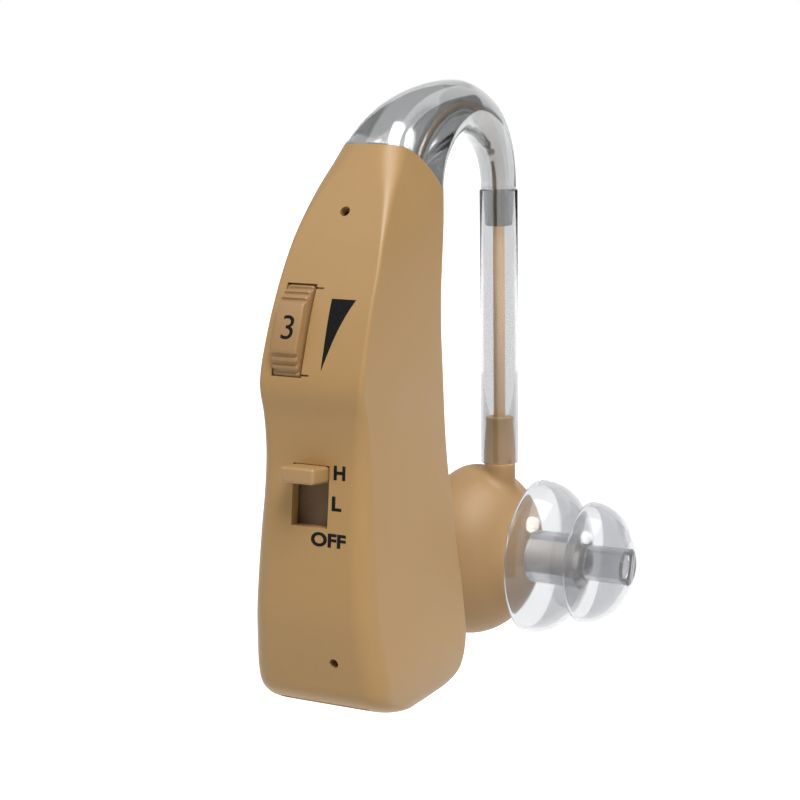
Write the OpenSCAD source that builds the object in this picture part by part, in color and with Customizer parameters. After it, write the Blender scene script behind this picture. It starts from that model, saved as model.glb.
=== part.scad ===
// Behind the ear hearing aid with a receiver on a lead, in millimetres.
// X is across the case, with the ear tip on the +X side. The control face looks to -Y.
// The part is drawn from the case's underside (z = 0) and its ear side (y about 0), and
// moved at the end so that the origin is the crook of the hook, where it rests on the ear.

/* [Case] */
// Height of the case, from its underside to the front of the hook joint
case_h = 42.4; // [40.5:0.1:44.5]
// Width of the case at its widest, beside the battery
case_w = 11.1; // [10.9:0.05:12]
// Depth of the case, from the control face to the ear side
case_d = 14.9; // [14.7:0.05:16]
// Wall of the case and its cover
wall = 0.9; // [0.75:0.01:0.95]
// Slope of the joint between the case and the hook, in degrees
joint_tilt = 26; // [23:1:29]

/* [Battery] */
// Radius of the size 675 cell
cell_r = 5.8; // [5.7:0.01:5.85]
// Thickness of the size 675 cell
cell_t = 5.4; // [5.2:0.05:5.5]
// Skin of the battery door
door_t = 0.95; // [0.8:0.01:1.05]
// Height of the battery door
door_h = 15; // [14.8:0.1:15.4]
// Radius of the door's hinge pin
pin_r = 0.45; // [0.35:0.01:0.5]

/* [Volume wheel] */
// Radius of the volume wheel
wheel_r = 4.9; // [4.7:0.05:5]
// Width of the volume wheel
wheel_w = 2.2; // [2:0.05:2.25]
// How far the wheel stands out of the control face
wheel_rise = 1.15; // [0.9:0.05:1.3]
// Distance from the front of the hook joint down to the middle of the wheel's window
wheel_drop = 12.9; // [12.4:0.1:13.4]
// Numbers on the wheel
wheel_numbers = 5; // [4:1:6]

/* [Switch] */
// Width of the switch slot
slot_w = 3.05; // [2.8:0.05:3.1]
// Length of the switch slot
slot_l = 4.6; // [4.4:0.05:4.8]
// Height of the middle of the switch slot
slot_z = 17.6; // [17.4:0.1:18]
// Height of the knob along its slot
knob_h = 1.2; // [1:0.05:1.4]
// How far the knob stands out of the control face
knob_rise = 2.2; // [1.8:0.1:2.6]

/* [Hook and tube] */
// Distance from the case's ear side to the axis of the tube
tube_y = 18.4; // [17.8:0.1:19.2]
// Outer radius of the tube
tube_r = 1.65; // [1.6:0.01:1.75]
// Bore radius of the tube
tube_bore_r = 1.38; // [1.34:0.01:1.42]
// Length of the tube
tube_l = 23.7; // [22.5:0.1:25]
// Distance from the front of the hook joint down to the top of the tube
tube_drop = 5.2; // [4.8:0.1:5.8]
// Radius of the receiver lead
lead_r = 0.5; // [0.4:0.01:0.55]
// Half thickness of the hook above the ear
crown_a = 2.25; // [2.1:0.05:2.6]

/* [Receiver and ear tip] */
// Radius of the receiver housing
bulb_r = 7.5; // [7.3:0.05:8]
// Wall of the receiver housing
bulb_wall = 0.8; // [0.65:0.01:0.9]
// Radius of the large flange of the ear tip
flange_r = 6.7; // [6.4:0.05:7.2]
// Radius of the small flange of the ear tip
tip_r = 5.25; // [4.9:0.05:5.7]
// Radius of the sleeve of the ear tip
sleeve_r = 2.25; // [2.1:0.01:2.4]
// Radius of the nozzle that the ear tip slides onto
nozzle_r = 1.42; // [1.36:0.01:1.46]
// Radius of the sound outlet in the ear tip
outlet_r = 1.1; // [1:0.01:1.15]

/* [Hidden] */
$fn = 64;

// Clearances and overruns
run_gap = 0.05;
press_gap = 0.01;
seam_gap = 0.08;
body_gap = 0.3;
over = 1;
bite = 0.2;

// One row for each level of the case, from the underside up: height as a share of case_h,
// width of case_w, control face and ear side of case_d, front and rear edge radius of case_w
profile_shares = [
    [0.000, 0.800, 0.600, -0.290, 0.130, 0.060],
    [0.006, 0.890, 0.645, -0.195, 0.140, 0.060],
    [0.014, 0.935, 0.740, -0.095, 0.150, 0.055],
    [0.026, 0.968, 0.825, -0.030, 0.155, 0.050],
    [0.040, 0.982, 0.892,  0.000, 0.160, 0.045],
    [0.061, 0.996, 0.940,  0.020, 0.165, 0.045],
    [0.094, 1.000, 0.960,  0.034, 0.165, 0.045],
    [0.139, 0.966, 0.980,  0.040, 0.160, 0.045],
    [0.196, 0.930, 0.996,  0.033, 0.155, 0.045],
    [0.259, 0.896, 0.991,  0.010, 0.150, 0.045],
    [0.340, 0.856, 0.970, -0.010, 0.140, 0.045],
    [0.415, 0.817, 0.942, -0.027, 0.125, 0.045],
    [0.483, 0.795, 0.923, -0.037, 0.105, 0.045],
    [0.545, 0.788, 0.924, -0.044, 0.075, 0.045],
    [0.590, 0.786, 0.939, -0.050, 0.045, 0.045],
    [0.618, 0.784, 0.930, -0.054, 0.035, 0.045],
    [0.660, 0.779, 0.890, -0.057, 0.030, 0.045],
    [0.726, 0.758, 0.815, -0.040, 0.030, 0.045],
    [0.795, 0.730, 0.714,  0.000, 0.030, 0.045],
    [0.857, 0.676, 0.615,  0.064, 0.040, 0.055],
    [0.921, 0.597, 0.493,  0.144, 0.085, 0.090],
    [0.974, 0.514, 0.386,  0.221, 0.160, 0.150],
    [1.026, 0.414, 0.268,  0.309, 0.170, 0.165],
];
profile_sizes = [case_h, case_w, case_d, case_d, case_w, case_w];
last_row = len(profile_shares) - 1;
// Points on each corner of a level of the case
corner_points = 5;

// A level of the case at any place between its rows, on a smooth curve through them
function row(i) = [for (j = [0:5]) profile_shares[max(0, min(last_row, i))][j] * profile_sizes[j]];
function through(a, b, c, d, t) = b + t * ((c - a) / 2
    + t * (a - 2.5 * b + 2 * c - d / 2 + t * (1.5 * (b - c) + (d - a) / 2)));
function level(t) = let (i = min(floor(t), last_row - 1))
    through(row(i - 1), row(i), row(i + 1), row(i + 2), t - i);
function find_row(z, low = 0, high = last_row, steps = 16) = let (mid = (low + high) / 2)
    steps == 0 ? mid
    : level(mid)[0] < z ? find_row(z, mid, high, steps - 1) : find_row(z, low, mid, steps - 1);
function level_at(z) = level(find_row(z));
function half_width(z) = level_at(z)[1] / 2;
function face_y(z) = -level_at(z)[2];
function ear_side_y(z) = level_at(z)[3];
slope_step = 0.01 * case_h;
function face_tilt(z) = atan((face_y(z + slope_step) - face_y(z - slope_step)) / (2 * slope_step));
function ear_side_tilt(z) =
    atan((ear_side_y(z + slope_step) - ear_side_y(z - slope_step)) / (2 * slope_step));

// A rectangle with four rounded corners, as points against the clock seen from above
function corner(x, y, r, a) = [for (j = [0:corner_points - 1])
    let (b = a + 90 * j / (corner_points - 1)) [x + r * cos(b), y + r * sin(b)]];
function outline(hw, y0, y1, rf, rb) = concat(
    corner(rf - hw, y0 + rf, rf, 180), corner(hw - rf, y0 + rf, rf, 270),
    corner(hw - rb, y1 - rb, rb, 0), corner(rb - hw, y1 - rb, rb, 90));
function lift(points, z) = [for (p = points) [p[0], p[1], z]];
least_r = 0.1;

// The heights at which a stretch of the case is sliced
function slices(z0, z1) = concat(z0,
    [for (t = [0:0.5:last_row]) let (z = level(t)[0]) if (z > z0 + bite && z < z1 - bite) z], z1);

// A skin through rings that all have the same number of points
module skin(rings) {
    n = len(rings[0]);
    m = len(rings);
    sides = [for (k = [0:m - 2], i = [0:n - 1]) let (j = (i + 1) % n)
        each [[k * n + i, k * n + n + i, k * n + n + j], [k * n + i, k * n + n + j, k * n + j]]];
    bottom = [for (i = [0:n - 1]) i];
    top = [for (i = [0:n - 1]) m * n - 1 - i];
    polyhedron(points = [for (r = rings) each r], faces = concat(sides, [bottom, top]));
}

// The case between two heights, drawn in by given amounts at the sides, front and back
function case_ring(z, side, front, back) = let (s = level_at(z))
    lift(outline(s[1] / 2 - side, -s[2] + front, s[3] - back,
        max(least_r, s[4] - side), max(least_r, s[5] - side)), z);
module case_form(z0, z1, side, front, back) {
    skin([for (z = slices(z0, z1)) case_ring(z, side, front, back)]);
}
// A slab along the ear side of the case, of a given thickness, that stands out by rise
module ear_side_slab(z0, z1, side, thick, rise) {
    skin([for (z = slices(z0, z1)) let (s = level_at(z))
        lift(outline(s[1] / 2 - side, s[3] - thick, s[3] + rise, least_r, least_r), z)]);
}

// Pieces that lie on the control face or the ear side stand in its own axes: x across,
// y into the case, z up along the surface
module on_face(z) {
    translate([0, face_y(z), z]) rotate([-face_tilt(z), 0, 0]) children();
}
module on_ear_side(z) {
    translate([0, ear_side_y(z), z]) rotate([-ear_side_tilt(z), 0, 0]) children();
}
// Turns a shape so that its own z runs along X, its x along Y and its y along Z
module about_x() {
    rotate([90, 0, 90]) children();
}
module x_rod(r, x0, x1, y, z) {
    translate([x0, y, z]) about_x() cylinder(r = r, h = x1 - x0);
}
module y_rod(r, y0, y1) {
    translate([0, y0, 0]) rotate([-90, 0, 0]) cylinder(r = r, h = y1 - y0);
}
// A box between two corners
module block(low, high) {
    translate(low) cube(high - low);
}
// A round wire from one point to another
module wire(a, b, r) {
    d = b - a;
    translate(a) rotate([0, acos(d[2] / norm(d)), atan2(d[1], d[0])]) cylinder(r = r, h = norm(d));
}

// Joint between the case and the hook
joint_y = 0.04 * case_d;
joint_z = 0.934 * case_h;
function joint_height(y) = joint_z - (y - joint_y) * tan(joint_tilt);
module above_joint(drop) {
    translate([0, joint_y, joint_z - drop / cos(joint_tilt)]) rotate([-joint_tilt, 0, 0])
        block([-case_w, -2 * case_d, 0], [case_w, 2 * case_d, case_h]);
}

// Centre line of the hook: up from the tube, round two bends and down into the case
bend_turn = 60;
crown_turn = 139;
tube_top = case_h - tube_drop;
bend_r = 0.337 * tube_y;
crown_r = 0.652 * tube_y;
leg_straight = 0.3;
bend_c = [tube_y - bend_r, tube_top + leg_straight];
crown_c = bend_c + (bend_r - crown_r) * [cos(bend_turn), sin(bend_turn)];
function hook_centre(a) = a < bend_turn ? bend_c + bend_r * [cos(a), sin(a)]
    : crown_c + crown_r * [cos(a), sin(a)];
hook_foot = hook_centre(crown_turn);
hook_place = [0, hook_foot[0], hook_foot[1]];
hook_way = [0, -sin(crown_turn), cos(crown_turn)];
ear_rest = [0, crown_c[0], crown_c[1] + crown_r - crown_a];

// Battery bay and door
bay_hw = cell_t / 2 + 1.2 * wall;
cradle_t = 0.5 * wall;
cell_gap = 0.06;
cell_z = door_t + cradle_t + cell_gap + cell_r - bite;
cell_y = ear_side_y(cell_z) - door_t - cradle_t - cell_gap - cell_r + bite / 2;
barrel_r = pin_r + 0.65 * wall;
barrel_gap = barrel_r + 0.5 * wall;
pin_z = 2.3 * wall;
pin_y = face_y(pin_z) + 0.6 * wall + barrel_gap;
pin_hold = 0.6 * wall;
toe_z = 2.9 * wall;
bulkhead_t = 0.8;
bulkhead_z = door_h - bulkhead_t;
can_t = 0.3;
cap_r = 0.845 * cell_r;
cap_t = 0.25;
seal_t = 0.55;
cap_shy = 0.5;
air_hole_r = 0.25;
air_hole_spread = 0.45 * cell_r;
contact_t = 0.15;
contact_w = 1.6;
contact_reach = 0.6;
contact_x = cell_t / 2 + contact_reach;
contact_tip_r = 0.6;
contact_rise = 2.4;
contact_top = door_h + contact_rise;

// Cover and its screws
cover_z0 = door_h + 2 * seam_gap;
cover_z1 = 0.845 * case_h;
screw_r = 0.5;
head_r = 0.9;
head_t = 0.45;
bar_h = 2;
bar_d = 1.6;
bar_gap = 0.12;
bar_ends = [2.3, 1.6];
bar_z = [door_h + bar_ends[0], cover_z1 - bar_ends[1]];

// Circuit board, upright on the +X side
board_x = 2.45;
board_t = 0.5;
board_rise = 1.4;
board_z0 = door_h + board_rise;
board_z1 = 0.8 * case_h;
board_room = 1;
board_edge = wall + board_room;
board_back = ear_side_y(bar_z[0]) - wall - bar_gap - bar_d - seam_gap;
chip = [0.9, 3.4, 4];
chip_z = 0.52 * case_h;
part_sizes = [0.6, 0.8, 1.5];
part_gap = 0.5;
wire_r = 0.12;

// Volume control
wheel_z = case_h - wheel_drop;
window_half = sqrt(wheel_r * wheel_r - (wheel_r - wheel_rise) * (wheel_r - wheel_rise));
wheel_x = -2.05;
wheel_turn = face_tilt(wheel_z);
wheel_c = [0, face_y(wheel_z) + (wheel_r - wheel_rise) * cos(wheel_turn),
    wheel_z - (wheel_r - wheel_rise) * sin(wheel_turn)];
window_end = 0.12;
wheel_side_gap = 0.22;
flat_half = 2.0;
flat_r = sqrt(wheel_r * wheel_r - flat_half * flat_half);
groove_r = 0.16;
groove_turn = 5.2;
shaft_r = 0.6;
shaft_hold = 0.3;
track_r = 2.4;
track_x0 = wheel_x + wheel_w / 2 + wheel_side_gap;
track_t = 1.5;
wiper_t = 0.2;
wiper_hub = 0.4;

// Switch
slot_x = -0.05;
slot_travel = slot_l - knob_h - 2 * run_gap;
knob_w = slot_w - 4 * run_gap;
knob_round = 0.22;
wing = 0.4;
wing_t = 0.17;
pad_t = 0.15;
floor_drop = 0.4;
slot_floor = wall + floor_drop;
housing_t = 1.25;
housing_edge = 0.25;
housing_w = slot_w + 2 * (wing + housing_edge + run_gap);
housing_l = slot_l + 2 * housing_edge + 2 * run_gap;
rest_z = slot_l / 2 - knob_h / 2 - run_gap;

// Microphone
port_r = 0.4;
port_z = 0.8915 * case_h;
capsule = [3.0, 1.7, 2.4];
boot_t = 0.4;
vent_x = 1.9;
vent_r = 0.36;
vent_z = 0.1225 * case_h;
mesh_r = 0.7;
mesh_t = 0.12;

// Hook
leg_r = 1.55;
crown_end = 85;
tenon_r = 1.25;
tenon_l = 2.5;
lead_past = 0.6;
lead_room = 0.12;
hook_bore_r = lead_r + lead_room;
tube_fit = 0.03;
spigot_r = tube_bore_r - tube_fit;
spigot_end_r = 0.85 * spigot_r;
spigot_l = 3.1;
spigot_straight = 1;
hook_rings = 10;
hook_pull = 0.88;
hook_points = 4 * corner_points;
core_sides = 12;
core_rings = 18;

// Receiver
bulb_z = tube_top - tube_l - 1.09 * bulb_r;
bulb_x = -2.7;
bulb_front = 6.2;
bulb_rear = 4.2;
bulb_flat = 3.6;
cap_split = 2;
collar_r = 2.6;
collar_x = bulb_x + bulb_front * sqrt(1 - collar_r * collar_r / bulb_r / bulb_r);
nozzle_end = 8.3;
nozzle_bore_r = 0.85;
stem_r = tube_bore_r - tube_fit;
stem_top_r = 0.8 * tube_bore_r;
stem_in = 4.1;
stem_bore_r = lead_r + run_gap;
driver_r = 5.6;
driver_ends = [-1.8, 1.3];
driver_x0 = bulb_x + driver_ends[0];
driver_x1 = bulb_x + driver_ends[1];
driver_wall = 0.7;
yoke_r = 4.2;
yoke_t = 0.6;
magnet_r = 2.6;
magnet_t = 1.3;
coil_r = 3.2;
coil_t = 0.35;
coil_l = 1.5;
film_t = 0.12;
filter_t = 0.3;

// Ear tip
sleeve_x0 = collar_x + bite;
annulus_x = 8.25;
outlet_x = 11.65;
spout_wall = 0.4;
spout_r = outlet_r + spout_wall;
flange_x = 3.4;
flange_l = 5.1;
tip_x = 8.2;
tip_l = 4.2;
lip_r = 2;
flange_t = 0.45;
dome_points = 14;

// The case

module bay() {
    intersection() {
        block([-bay_hw, -2 * case_d, toe_z], [bay_hw, 2 * case_d, bulkhead_z]);
        case_form(toe_z - bite, bulkhead_z + bite, 0, wall, -over);
    }
    intersection() {
        block([-bay_hw, -case_d, toe_z], [bay_hw, case_d, door_h + bite]);
        ear_side_slab(toe_z, door_h + bite, 0, door_t + seam_gap, over);
    }
    block([-bay_hw, pin_y, -over], [bay_hw, case_d, toe_z + bite]);
    x_rod(barrel_gap, -bay_hw, bay_hw, pin_y, pin_z);
}

module screw_holes(r) {
    for (z = bar_z) on_ear_side(z) y_rod(r, -bar_d - wall - 2 * bar_gap, over);
}

module bars() {
    for (z = bar_z) on_ear_side(z) {
        hw = half_width(z) - wall + bite;
        block([-hw, -wall - bar_gap - bar_d, -bar_h / 2], [hw, -wall - bar_gap, bar_h / 2]);
    }
}

module bulkhead() {
    hw = half_width(bulkhead_z) - wall + bite;
    block([-hw, wheel_c[1] - bulkhead_t, bulkhead_z],
        [hw, ear_side_y(door_h) - wall - seam_gap, door_h]);
}

module contact_slots() {
    for (side = [-1, 1]) {
        x = side * contact_x;
        x2 = side * (contact_x + contact_t);
        block([min(x, x2) - run_gap, cell_y - contact_w / 2 - run_gap, bulkhead_z - over],
            [max(x, x2) + run_gap, cell_y + contact_w / 2 + run_gap, door_h + over]);
    }
}

module wheel_window() {
    x0 = wheel_x - wheel_w / 2 - wheel_side_gap / 2;
    x1 = wheel_x + wheel_w / 2 + wheel_side_gap;
    on_face(wheel_z) block([x0, -over, -window_half - window_end],
        [x1, 3 * wall, window_half + window_end]);
    x_rod(wheel_r + window_end, x0, x1, wheel_c[1], wheel_c[2]);
}

module case_top() {
    difference() {
        case_form(0, level(last_row)[0], 0, 0, 0);
        above_joint(0);
    }
}

module main_case() color([0.68, 0.55, 0.40]) {
    difference() {
        case_top();
        difference() {
            case_form(door_h - bite, level(last_row)[0] - bite, wall, wall, wall);
            above_joint(wall);
            block([-case_w, -2 * case_d, 0], [case_w, 2 * case_d, door_h]);
        }
        ear_side_slab(door_h - 2 * bite, cover_z1 + seam_gap, wall, 2 * wall, over);
        bay();
        wheel_window();
        on_face(slot_z) block([slot_x - slot_w / 2, -over, -slot_l / 2],
            [slot_x + slot_w / 2, 2 * wall, slot_l / 2]);
        on_face(slot_z) block([slot_x - housing_w / 2 - run_gap, wall, -housing_l / 2 - run_gap],
            [slot_x + housing_w / 2 + run_gap, 3 * wall, housing_l / 2 + run_gap]);
        contact_slots();
        on_face(port_z) y_rod(port_r, -over, 2 * wall);
        on_face(vent_z) translate([vent_x, 0, 0]) y_rod(vent_r, -over, 2 * wall);
        x_rod(pin_r + press_gap, -bay_hw - pin_hold, bay_hw + pin_hold, pin_y, pin_z);
        x_rod(shaft_r + run_gap, wheel_x - wheel_w / 2 - 2 * wheel_side_gap - shaft_hold, wheel_x,
            wheel_c[1], wheel_c[2]);
        wire(hook_place - over * hook_way, hook_place + (tenon_l + over) * hook_way,
            tenon_r + press_gap);
    }
    difference() {
        bars();
        screw_holes(screw_r + press_gap);
    }
    difference() {
        bulkhead();
        contact_slots();
    }
}

module inner_cover() color([0.66, 0.53, 0.38]) {
    difference() {
        ear_side_slab(cover_z0, cover_z1, wall + seam_gap, wall, 0);
        screw_holes(screw_r + run_gap);
        for (z = bar_z) on_ear_side(z) y_rod(head_r + run_gap, -head_t, over);
    }
}

module cover_screws() color([0.75, 0.76, 0.78]) {
    for (z = bar_z) on_ear_side(z) difference() {
        union() {
            y_rod(head_r, -head_t, 0);
            y_rod(screw_r, -wall - bar_gap - 0.9 * bar_d, -head_t);
        }
        block([-head_r, -head_t / 2, -head_t / 4], [head_r, over, head_t / 4]);
    }
}

// The battery door and the cell

module door_envelope() {
    intersection() {
        case_form(0, door_h, 0, 0, 0);
        union() {
            block([seam_gap - bay_hw, pin_y, -over], [bay_hw - seam_gap, case_d, door_h]);
            x_rod(barrel_r, seam_gap - bay_hw, bay_hw - seam_gap, pin_y, pin_z);
            cradle_rod();
        }
    }
}

module cradle_rod() {
    x_rod(cell_r + cell_gap + cradle_t, wall - cell_t / 2, cell_t / 2 - wall, cell_y, cell_z);
}

module battery_door() color([0.67, 0.54, 0.39]) {
    difference() {
        intersection() {
            door_envelope();
            union() {
                x_rod(barrel_r, -bay_hw, bay_hw, pin_y, pin_z);
                cradle_rod();
                difference() {
                    block([-bay_hw, pin_y, -over], [bay_hw, case_d, door_h]);
                    translate([0, -door_t, door_t]) case_form(0, door_h + over, -over, -over, 0);
                }
            }
        }
        x_rod(cell_r + cell_gap, -bay_hw, bay_hw, cell_y, cell_z);
        x_rod(pin_r + run_gap, -bay_hw, bay_hw, pin_y, pin_z);
        block([-cell_t / 2, -case_d, cell_z + 0.6 * cell_r],
            [cell_t / 2, ear_side_y(cell_z) - door_t - bite, door_h + over]);
    }
}

module door_hinge_pin() color([0.78, 0.78, 0.80])
    x_rod(pin_r, -bay_hw - 0.9 * pin_hold, bay_hw + 0.9 * pin_hold, pin_y, pin_z);

module battery_can() color([0.80, 0.81, 0.83]) {
    difference() {
        x_rod(cell_r, cap_shy - cell_t / 2, cell_t / 2, cell_y, cell_z);
        x_rod(cell_r - can_t, -cell_t / 2, cell_t / 2 - can_t, cell_y, cell_z);
        for (a = [45:90:315]) x_rod(air_hole_r, 0, cell_t,
            cell_y + air_hole_spread * cos(a), cell_z + air_hole_spread * sin(a));
    }
}

module battery_seal() color([0.20, 0.28, 0.45]) {
    difference() {
        x_rod(cell_r - can_t, cap_shy / 2 - cell_t / 2, cell_t / 2 - can_t, cell_y, cell_z);
        x_rod(cap_r, -cell_t / 2, cell_t / 2 - can_t - seal_t, cell_y, cell_z);
        x_rod(cap_r - seal_t, -cell_t / 2, cell_t, cell_y, cell_z);
    }
}

module battery_cap() color([0.72, 0.73, 0.74]) {
    difference() {
        x_rod(cap_r, -cell_t / 2, cell_t / 2 - can_t - seal_t, cell_y, cell_z);
        x_rod(cap_r - cap_t, cap_t - cell_t / 2, cell_t, cell_y, cell_z);
    }
}

module contact(side) {
    x = side * contact_x;
    x2 = side * (contact_x + contact_t);
    tip = side * (cell_t / 2 + run_gap);
    block([min(x, x2), cell_y - contact_w / 2, cell_z - contact_tip_r],
        [max(x, x2), cell_y + contact_w / 2, contact_top]);
    x_rod(contact_tip_r, min(x, tip), max(x, tip), cell_y, cell_z);
}

module contact_positive() color([0.83, 0.70, 0.40]) {
    contact(1);
    block([board_x + board_t, cell_y - contact_w / 2, contact_top - contact_w / 4],
        [contact_x + contact_t / 2, cell_y + contact_w / 2, contact_top]);
}
module contact_negative() color([0.83, 0.70, 0.40]) contact(-1);

// The circuit board and what it carries

module circuit_board() color([0.12, 0.38, 0.22]) {
    heights = [for (k = [0:4]) board_z0 + k * (board_z1 - board_z0) / 4];
    points = concat([[board_back, board_z0]],
        [for (z = heights) [face_y(z) + board_edge, z]], [[board_back, board_z1]]);
    translate([board_x, 0, 0]) about_x() linear_extrude(board_t) polygon(points);
}

module amplifier_chip() color([0.10, 0.10, 0.11]) {
    y = board_back - chip[1] - part_gap;
    block([board_x - chip[0], y, chip_z - chip[2] / 2], [board_x, y + chip[1], chip_z + chip[2] / 2]);
}

module board_row(count, y, z, size) {
    for (k = [0:count - 1]) {
        y0 = y - k * (size[1] + part_gap);
        block([board_x - size[0], y0 - size[1], z], [board_x, y0, z + size[2]]);
    }
}
module capacitors() color([0.70, 0.58, 0.42])
    board_row(3, board_back - part_gap, board_z0 + 2 * part_gap, part_sizes);
module resistors() color([0.13, 0.13, 0.14])
    board_row(4, board_back - part_gap, board_z1 - part_sizes[2], part_sizes * 0.6);

module battery_wire() color([0.10, 0.10, 0.10])
    wire([-contact_x, cell_y, contact_top - wire_r - contact_w / 4],
        [board_x, cell_y, contact_top + 1.5 * contact_w], wire_r);

// The microphone

module microphone_capsule() color([0.76, 0.77, 0.78]) {
    y0 = wall + run_gap + boot_t;
    on_face(port_z) difference() {
        block([-capsule[0] / 2, y0, -capsule[2] / 2], [capsule[0] / 2, y0 + capsule[1], capsule[2] / 2]);
        y_rod(port_r, 0, y0 + capsule[1] / 4);
    }
}

module microphone_boot() color([0.16, 0.16, 0.17]) {
    y0 = wall + run_gap;
    hw = capsule[0] / 2 + boot_t;
    hh = capsule[2] / 2 + boot_t / 2;
    on_face(port_z) difference() {
        block([-hw, y0, -hh], [hw, y0 + capsule[1], hh]);
        block([-capsule[0] / 2 - press_gap, y0 + boot_t - press_gap, -capsule[2] / 2 - press_gap],
            [capsule[0] / 2 + press_gap, y0 + capsule[1] + over, capsule[2] / 2 + press_gap]);
        y_rod(port_r, 0, capsule[1]);
        y_rod(mesh_r + press_gap, 0, y0 + mesh_t + press_gap);
    }
}

module microphone_mesh() color([0.25, 0.25, 0.26])
    on_face(port_z) y_rod(mesh_r, wall + run_gap, wall + run_gap + mesh_t);

module microphone_wires() color([0.75, 0.15, 0.12]) {
    depth = wall + run_gap + boot_t + capsule[1];
    y = face_y(port_z) + depth * cos(face_tilt(port_z));
    z = port_z - depth * sin(face_tilt(port_z));
    for (side = [-1, 1]) wire([side * capsule[0] / 6 + 2 * wire_r, y, z],
        [board_x, y + side * part_gap, board_z1 - part_gap], wire_r);
}

// The volume control

module wheel_place() {
    translate(wheel_c) rotate([-wheel_turn, 0, 0]) children();
}

module volume_wheel() color([0.67, 0.55, 0.43]) {
    step = 360 / wheel_numbers;
    wheel_place() difference() {
        x_rod(wheel_r, wheel_x - wheel_w / 2, wheel_x + wheel_w / 2, 0, 0);
        for (k = [0:wheel_numbers - 1]) rotate([k * step, 0, 0]) {
            block([-case_w, -wheel_r - over, -flat_half], [case_w, -flat_r, flat_half]);
            for (j = [-1.5:1:1.5]) rotate([step / 2 + j * groove_turn, 0, 0])
                x_rod(groove_r, wheel_x - wheel_w, wheel_x + wheel_w, -wheel_r, 0);
        }
        x_rod(shaft_r + press_gap, wheel_x - wheel_w, wheel_x + wheel_w, 0, 0);
    }
}

module volume_shaft() color([0.78, 0.78, 0.80]) {
    wall_x = wheel_x - wheel_w / 2 - 2 * wheel_side_gap - 0.8 * shaft_hold;
    wheel_place() x_rod(shaft_r, wall_x, track_x0 + track_t - wall / 2, 0, 0);
}

module volume_wiper() color([0.84, 0.72, 0.42]) {
    x0 = track_x0 + track_t / 2;
    wheel_place() difference() {
        union() {
            x_rod(shaft_r + wiper_hub, x0, x0 + wiper_t, 0, 0);
            block([x0, 0, -shaft_r / 2], [x0 + wiper_t, 0.75 * track_r, shaft_r / 2]);
        }
        x_rod(shaft_r + press_gap, x0 - over, x0 + over, 0, 0);
    }
}

module volume_track_body() color([0.14, 0.20, 0.36]) {
    x0 = track_x0 + track_t / 2;
    wheel_place() difference() {
        x_rod(track_r, track_x0, track_x0 + track_t, 0, 0);
        x_rod(0.85 * track_r, x0 - run_gap, x0 + wiper_t + run_gap, 0, 0);
        x_rod(shaft_r + run_gap, track_x0 - over, track_x0 + track_t - wall / 3, 0, 0);
    }
}

module volume_pins() color([0.80, 0.80, 0.82])
    for (k = [-1:1]) wheel_place() x_rod(2 * wire_r, track_x0 + track_t, board_x,
        track_r / 2, k * track_r / 2);

// The switch

module switch_knob() color([0.64, 0.52, 0.37]) {
    low = [slot_x - knob_w / 2, -knob_rise, rest_z - knob_h / 2];
    high = [slot_x + knob_w / 2, wall + run_gap + wing_t, rest_z + knob_h / 2];
    on_face(slot_z) {
        hull() for (x = [low[0] + knob_round, high[0] - knob_round],
            z = [low[2] + knob_round, high[2] - knob_round]) {
            translate([x, low[1] + knob_round, z]) sphere(r = knob_round, $fn = 16);
            translate([x, 0, z]) y_rod(knob_round, 0, high[1], $fn = 16);
        }
        block([low[0] - wing, wall + run_gap, low[2]],
            [high[0] + wing, wall + run_gap + wing_t, high[2]]);
    }
}

module switch_slider_contact() color([0.84, 0.72, 0.42]) {
    y0 = wall + run_gap + wing_t;
    on_face(slot_z) block([slot_x + knob_w / 2, y0, rest_z - knob_h / 2],
        [slot_x + knob_w / 2 + wing, slot_floor - run_gap, rest_z + knob_h / 2]);
}

module switch_housing() color([0.18, 0.15, 0.12]) {
    on_face(slot_z) difference() {
        block([slot_x - housing_w / 2, wall + run_gap / 2, -housing_l / 2],
            [slot_x + housing_w / 2, wall + housing_t, housing_l / 2]);
        block([slot_x - slot_w / 2 - wing, 0, -slot_l / 2], [slot_x + slot_w / 2 + wing,
            slot_floor, slot_l / 2]);
        pads(press_gap);
    }
}

module pads(gap) {
    x0 = slot_x + knob_w / 2;
    for (k = [-1:1]) {
        z = k * slot_travel / 2;
        block([x0 - gap, slot_floor - gap, z - knob_h / 3 - gap],
            [x0 + wing + gap, slot_floor + pad_t + gap, z + knob_h / 3 + gap]);
    }
}
module switch_pads() color([0.84, 0.72, 0.42]) on_face(slot_z) pads(0);

module switch_pins() color([0.80, 0.80, 0.82])
    on_face(slot_z) for (k = [-1:1])
        translate([0, wall + 0.6 * housing_t, k * slot_travel / 2])
            x_rod(2 * wire_r, slot_x + housing_w / 2, board_x, 0, 0);

// The hook

// A tube along the hook's centre line, which starts past the joint and ends down the leg
function core_ring(c, a, r) = [for (i = [0:core_sides - 1]) let (b = 360 * i / core_sides)
    [r * cos(b), c[0] - r * sin(b) * cos(a), c[1] - r * sin(b) * sin(a)]];
module hook_core(r, past, down) {
    start = hook_foot + past * [-sin(crown_turn), cos(crown_turn)];
    skin(concat([core_ring(start, crown_turn, r)],
        [for (k = [0:core_rings]) let (a = crown_turn * (1 - k / core_rings))
            core_ring(hook_centre(a), a, r)],
        [core_ring([tube_y, down], 0, r)]));
}

// The outline of the case where the joint cuts it, found point by point
function joint_search(i, low, high, steps = 14) = let (mid = (low + high) / 2)
    steps == 0 ? mid
    : joint_height(case_ring(mid, 0, 0, 0)[i][1]) > mid
        ? joint_search(i, mid, high, steps - 1) : joint_search(i, low, mid, steps - 1);
function case_point(i, z) = case_ring(z, 0, 0, 0)[i];
function unit(v) = v / norm(v);

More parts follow.
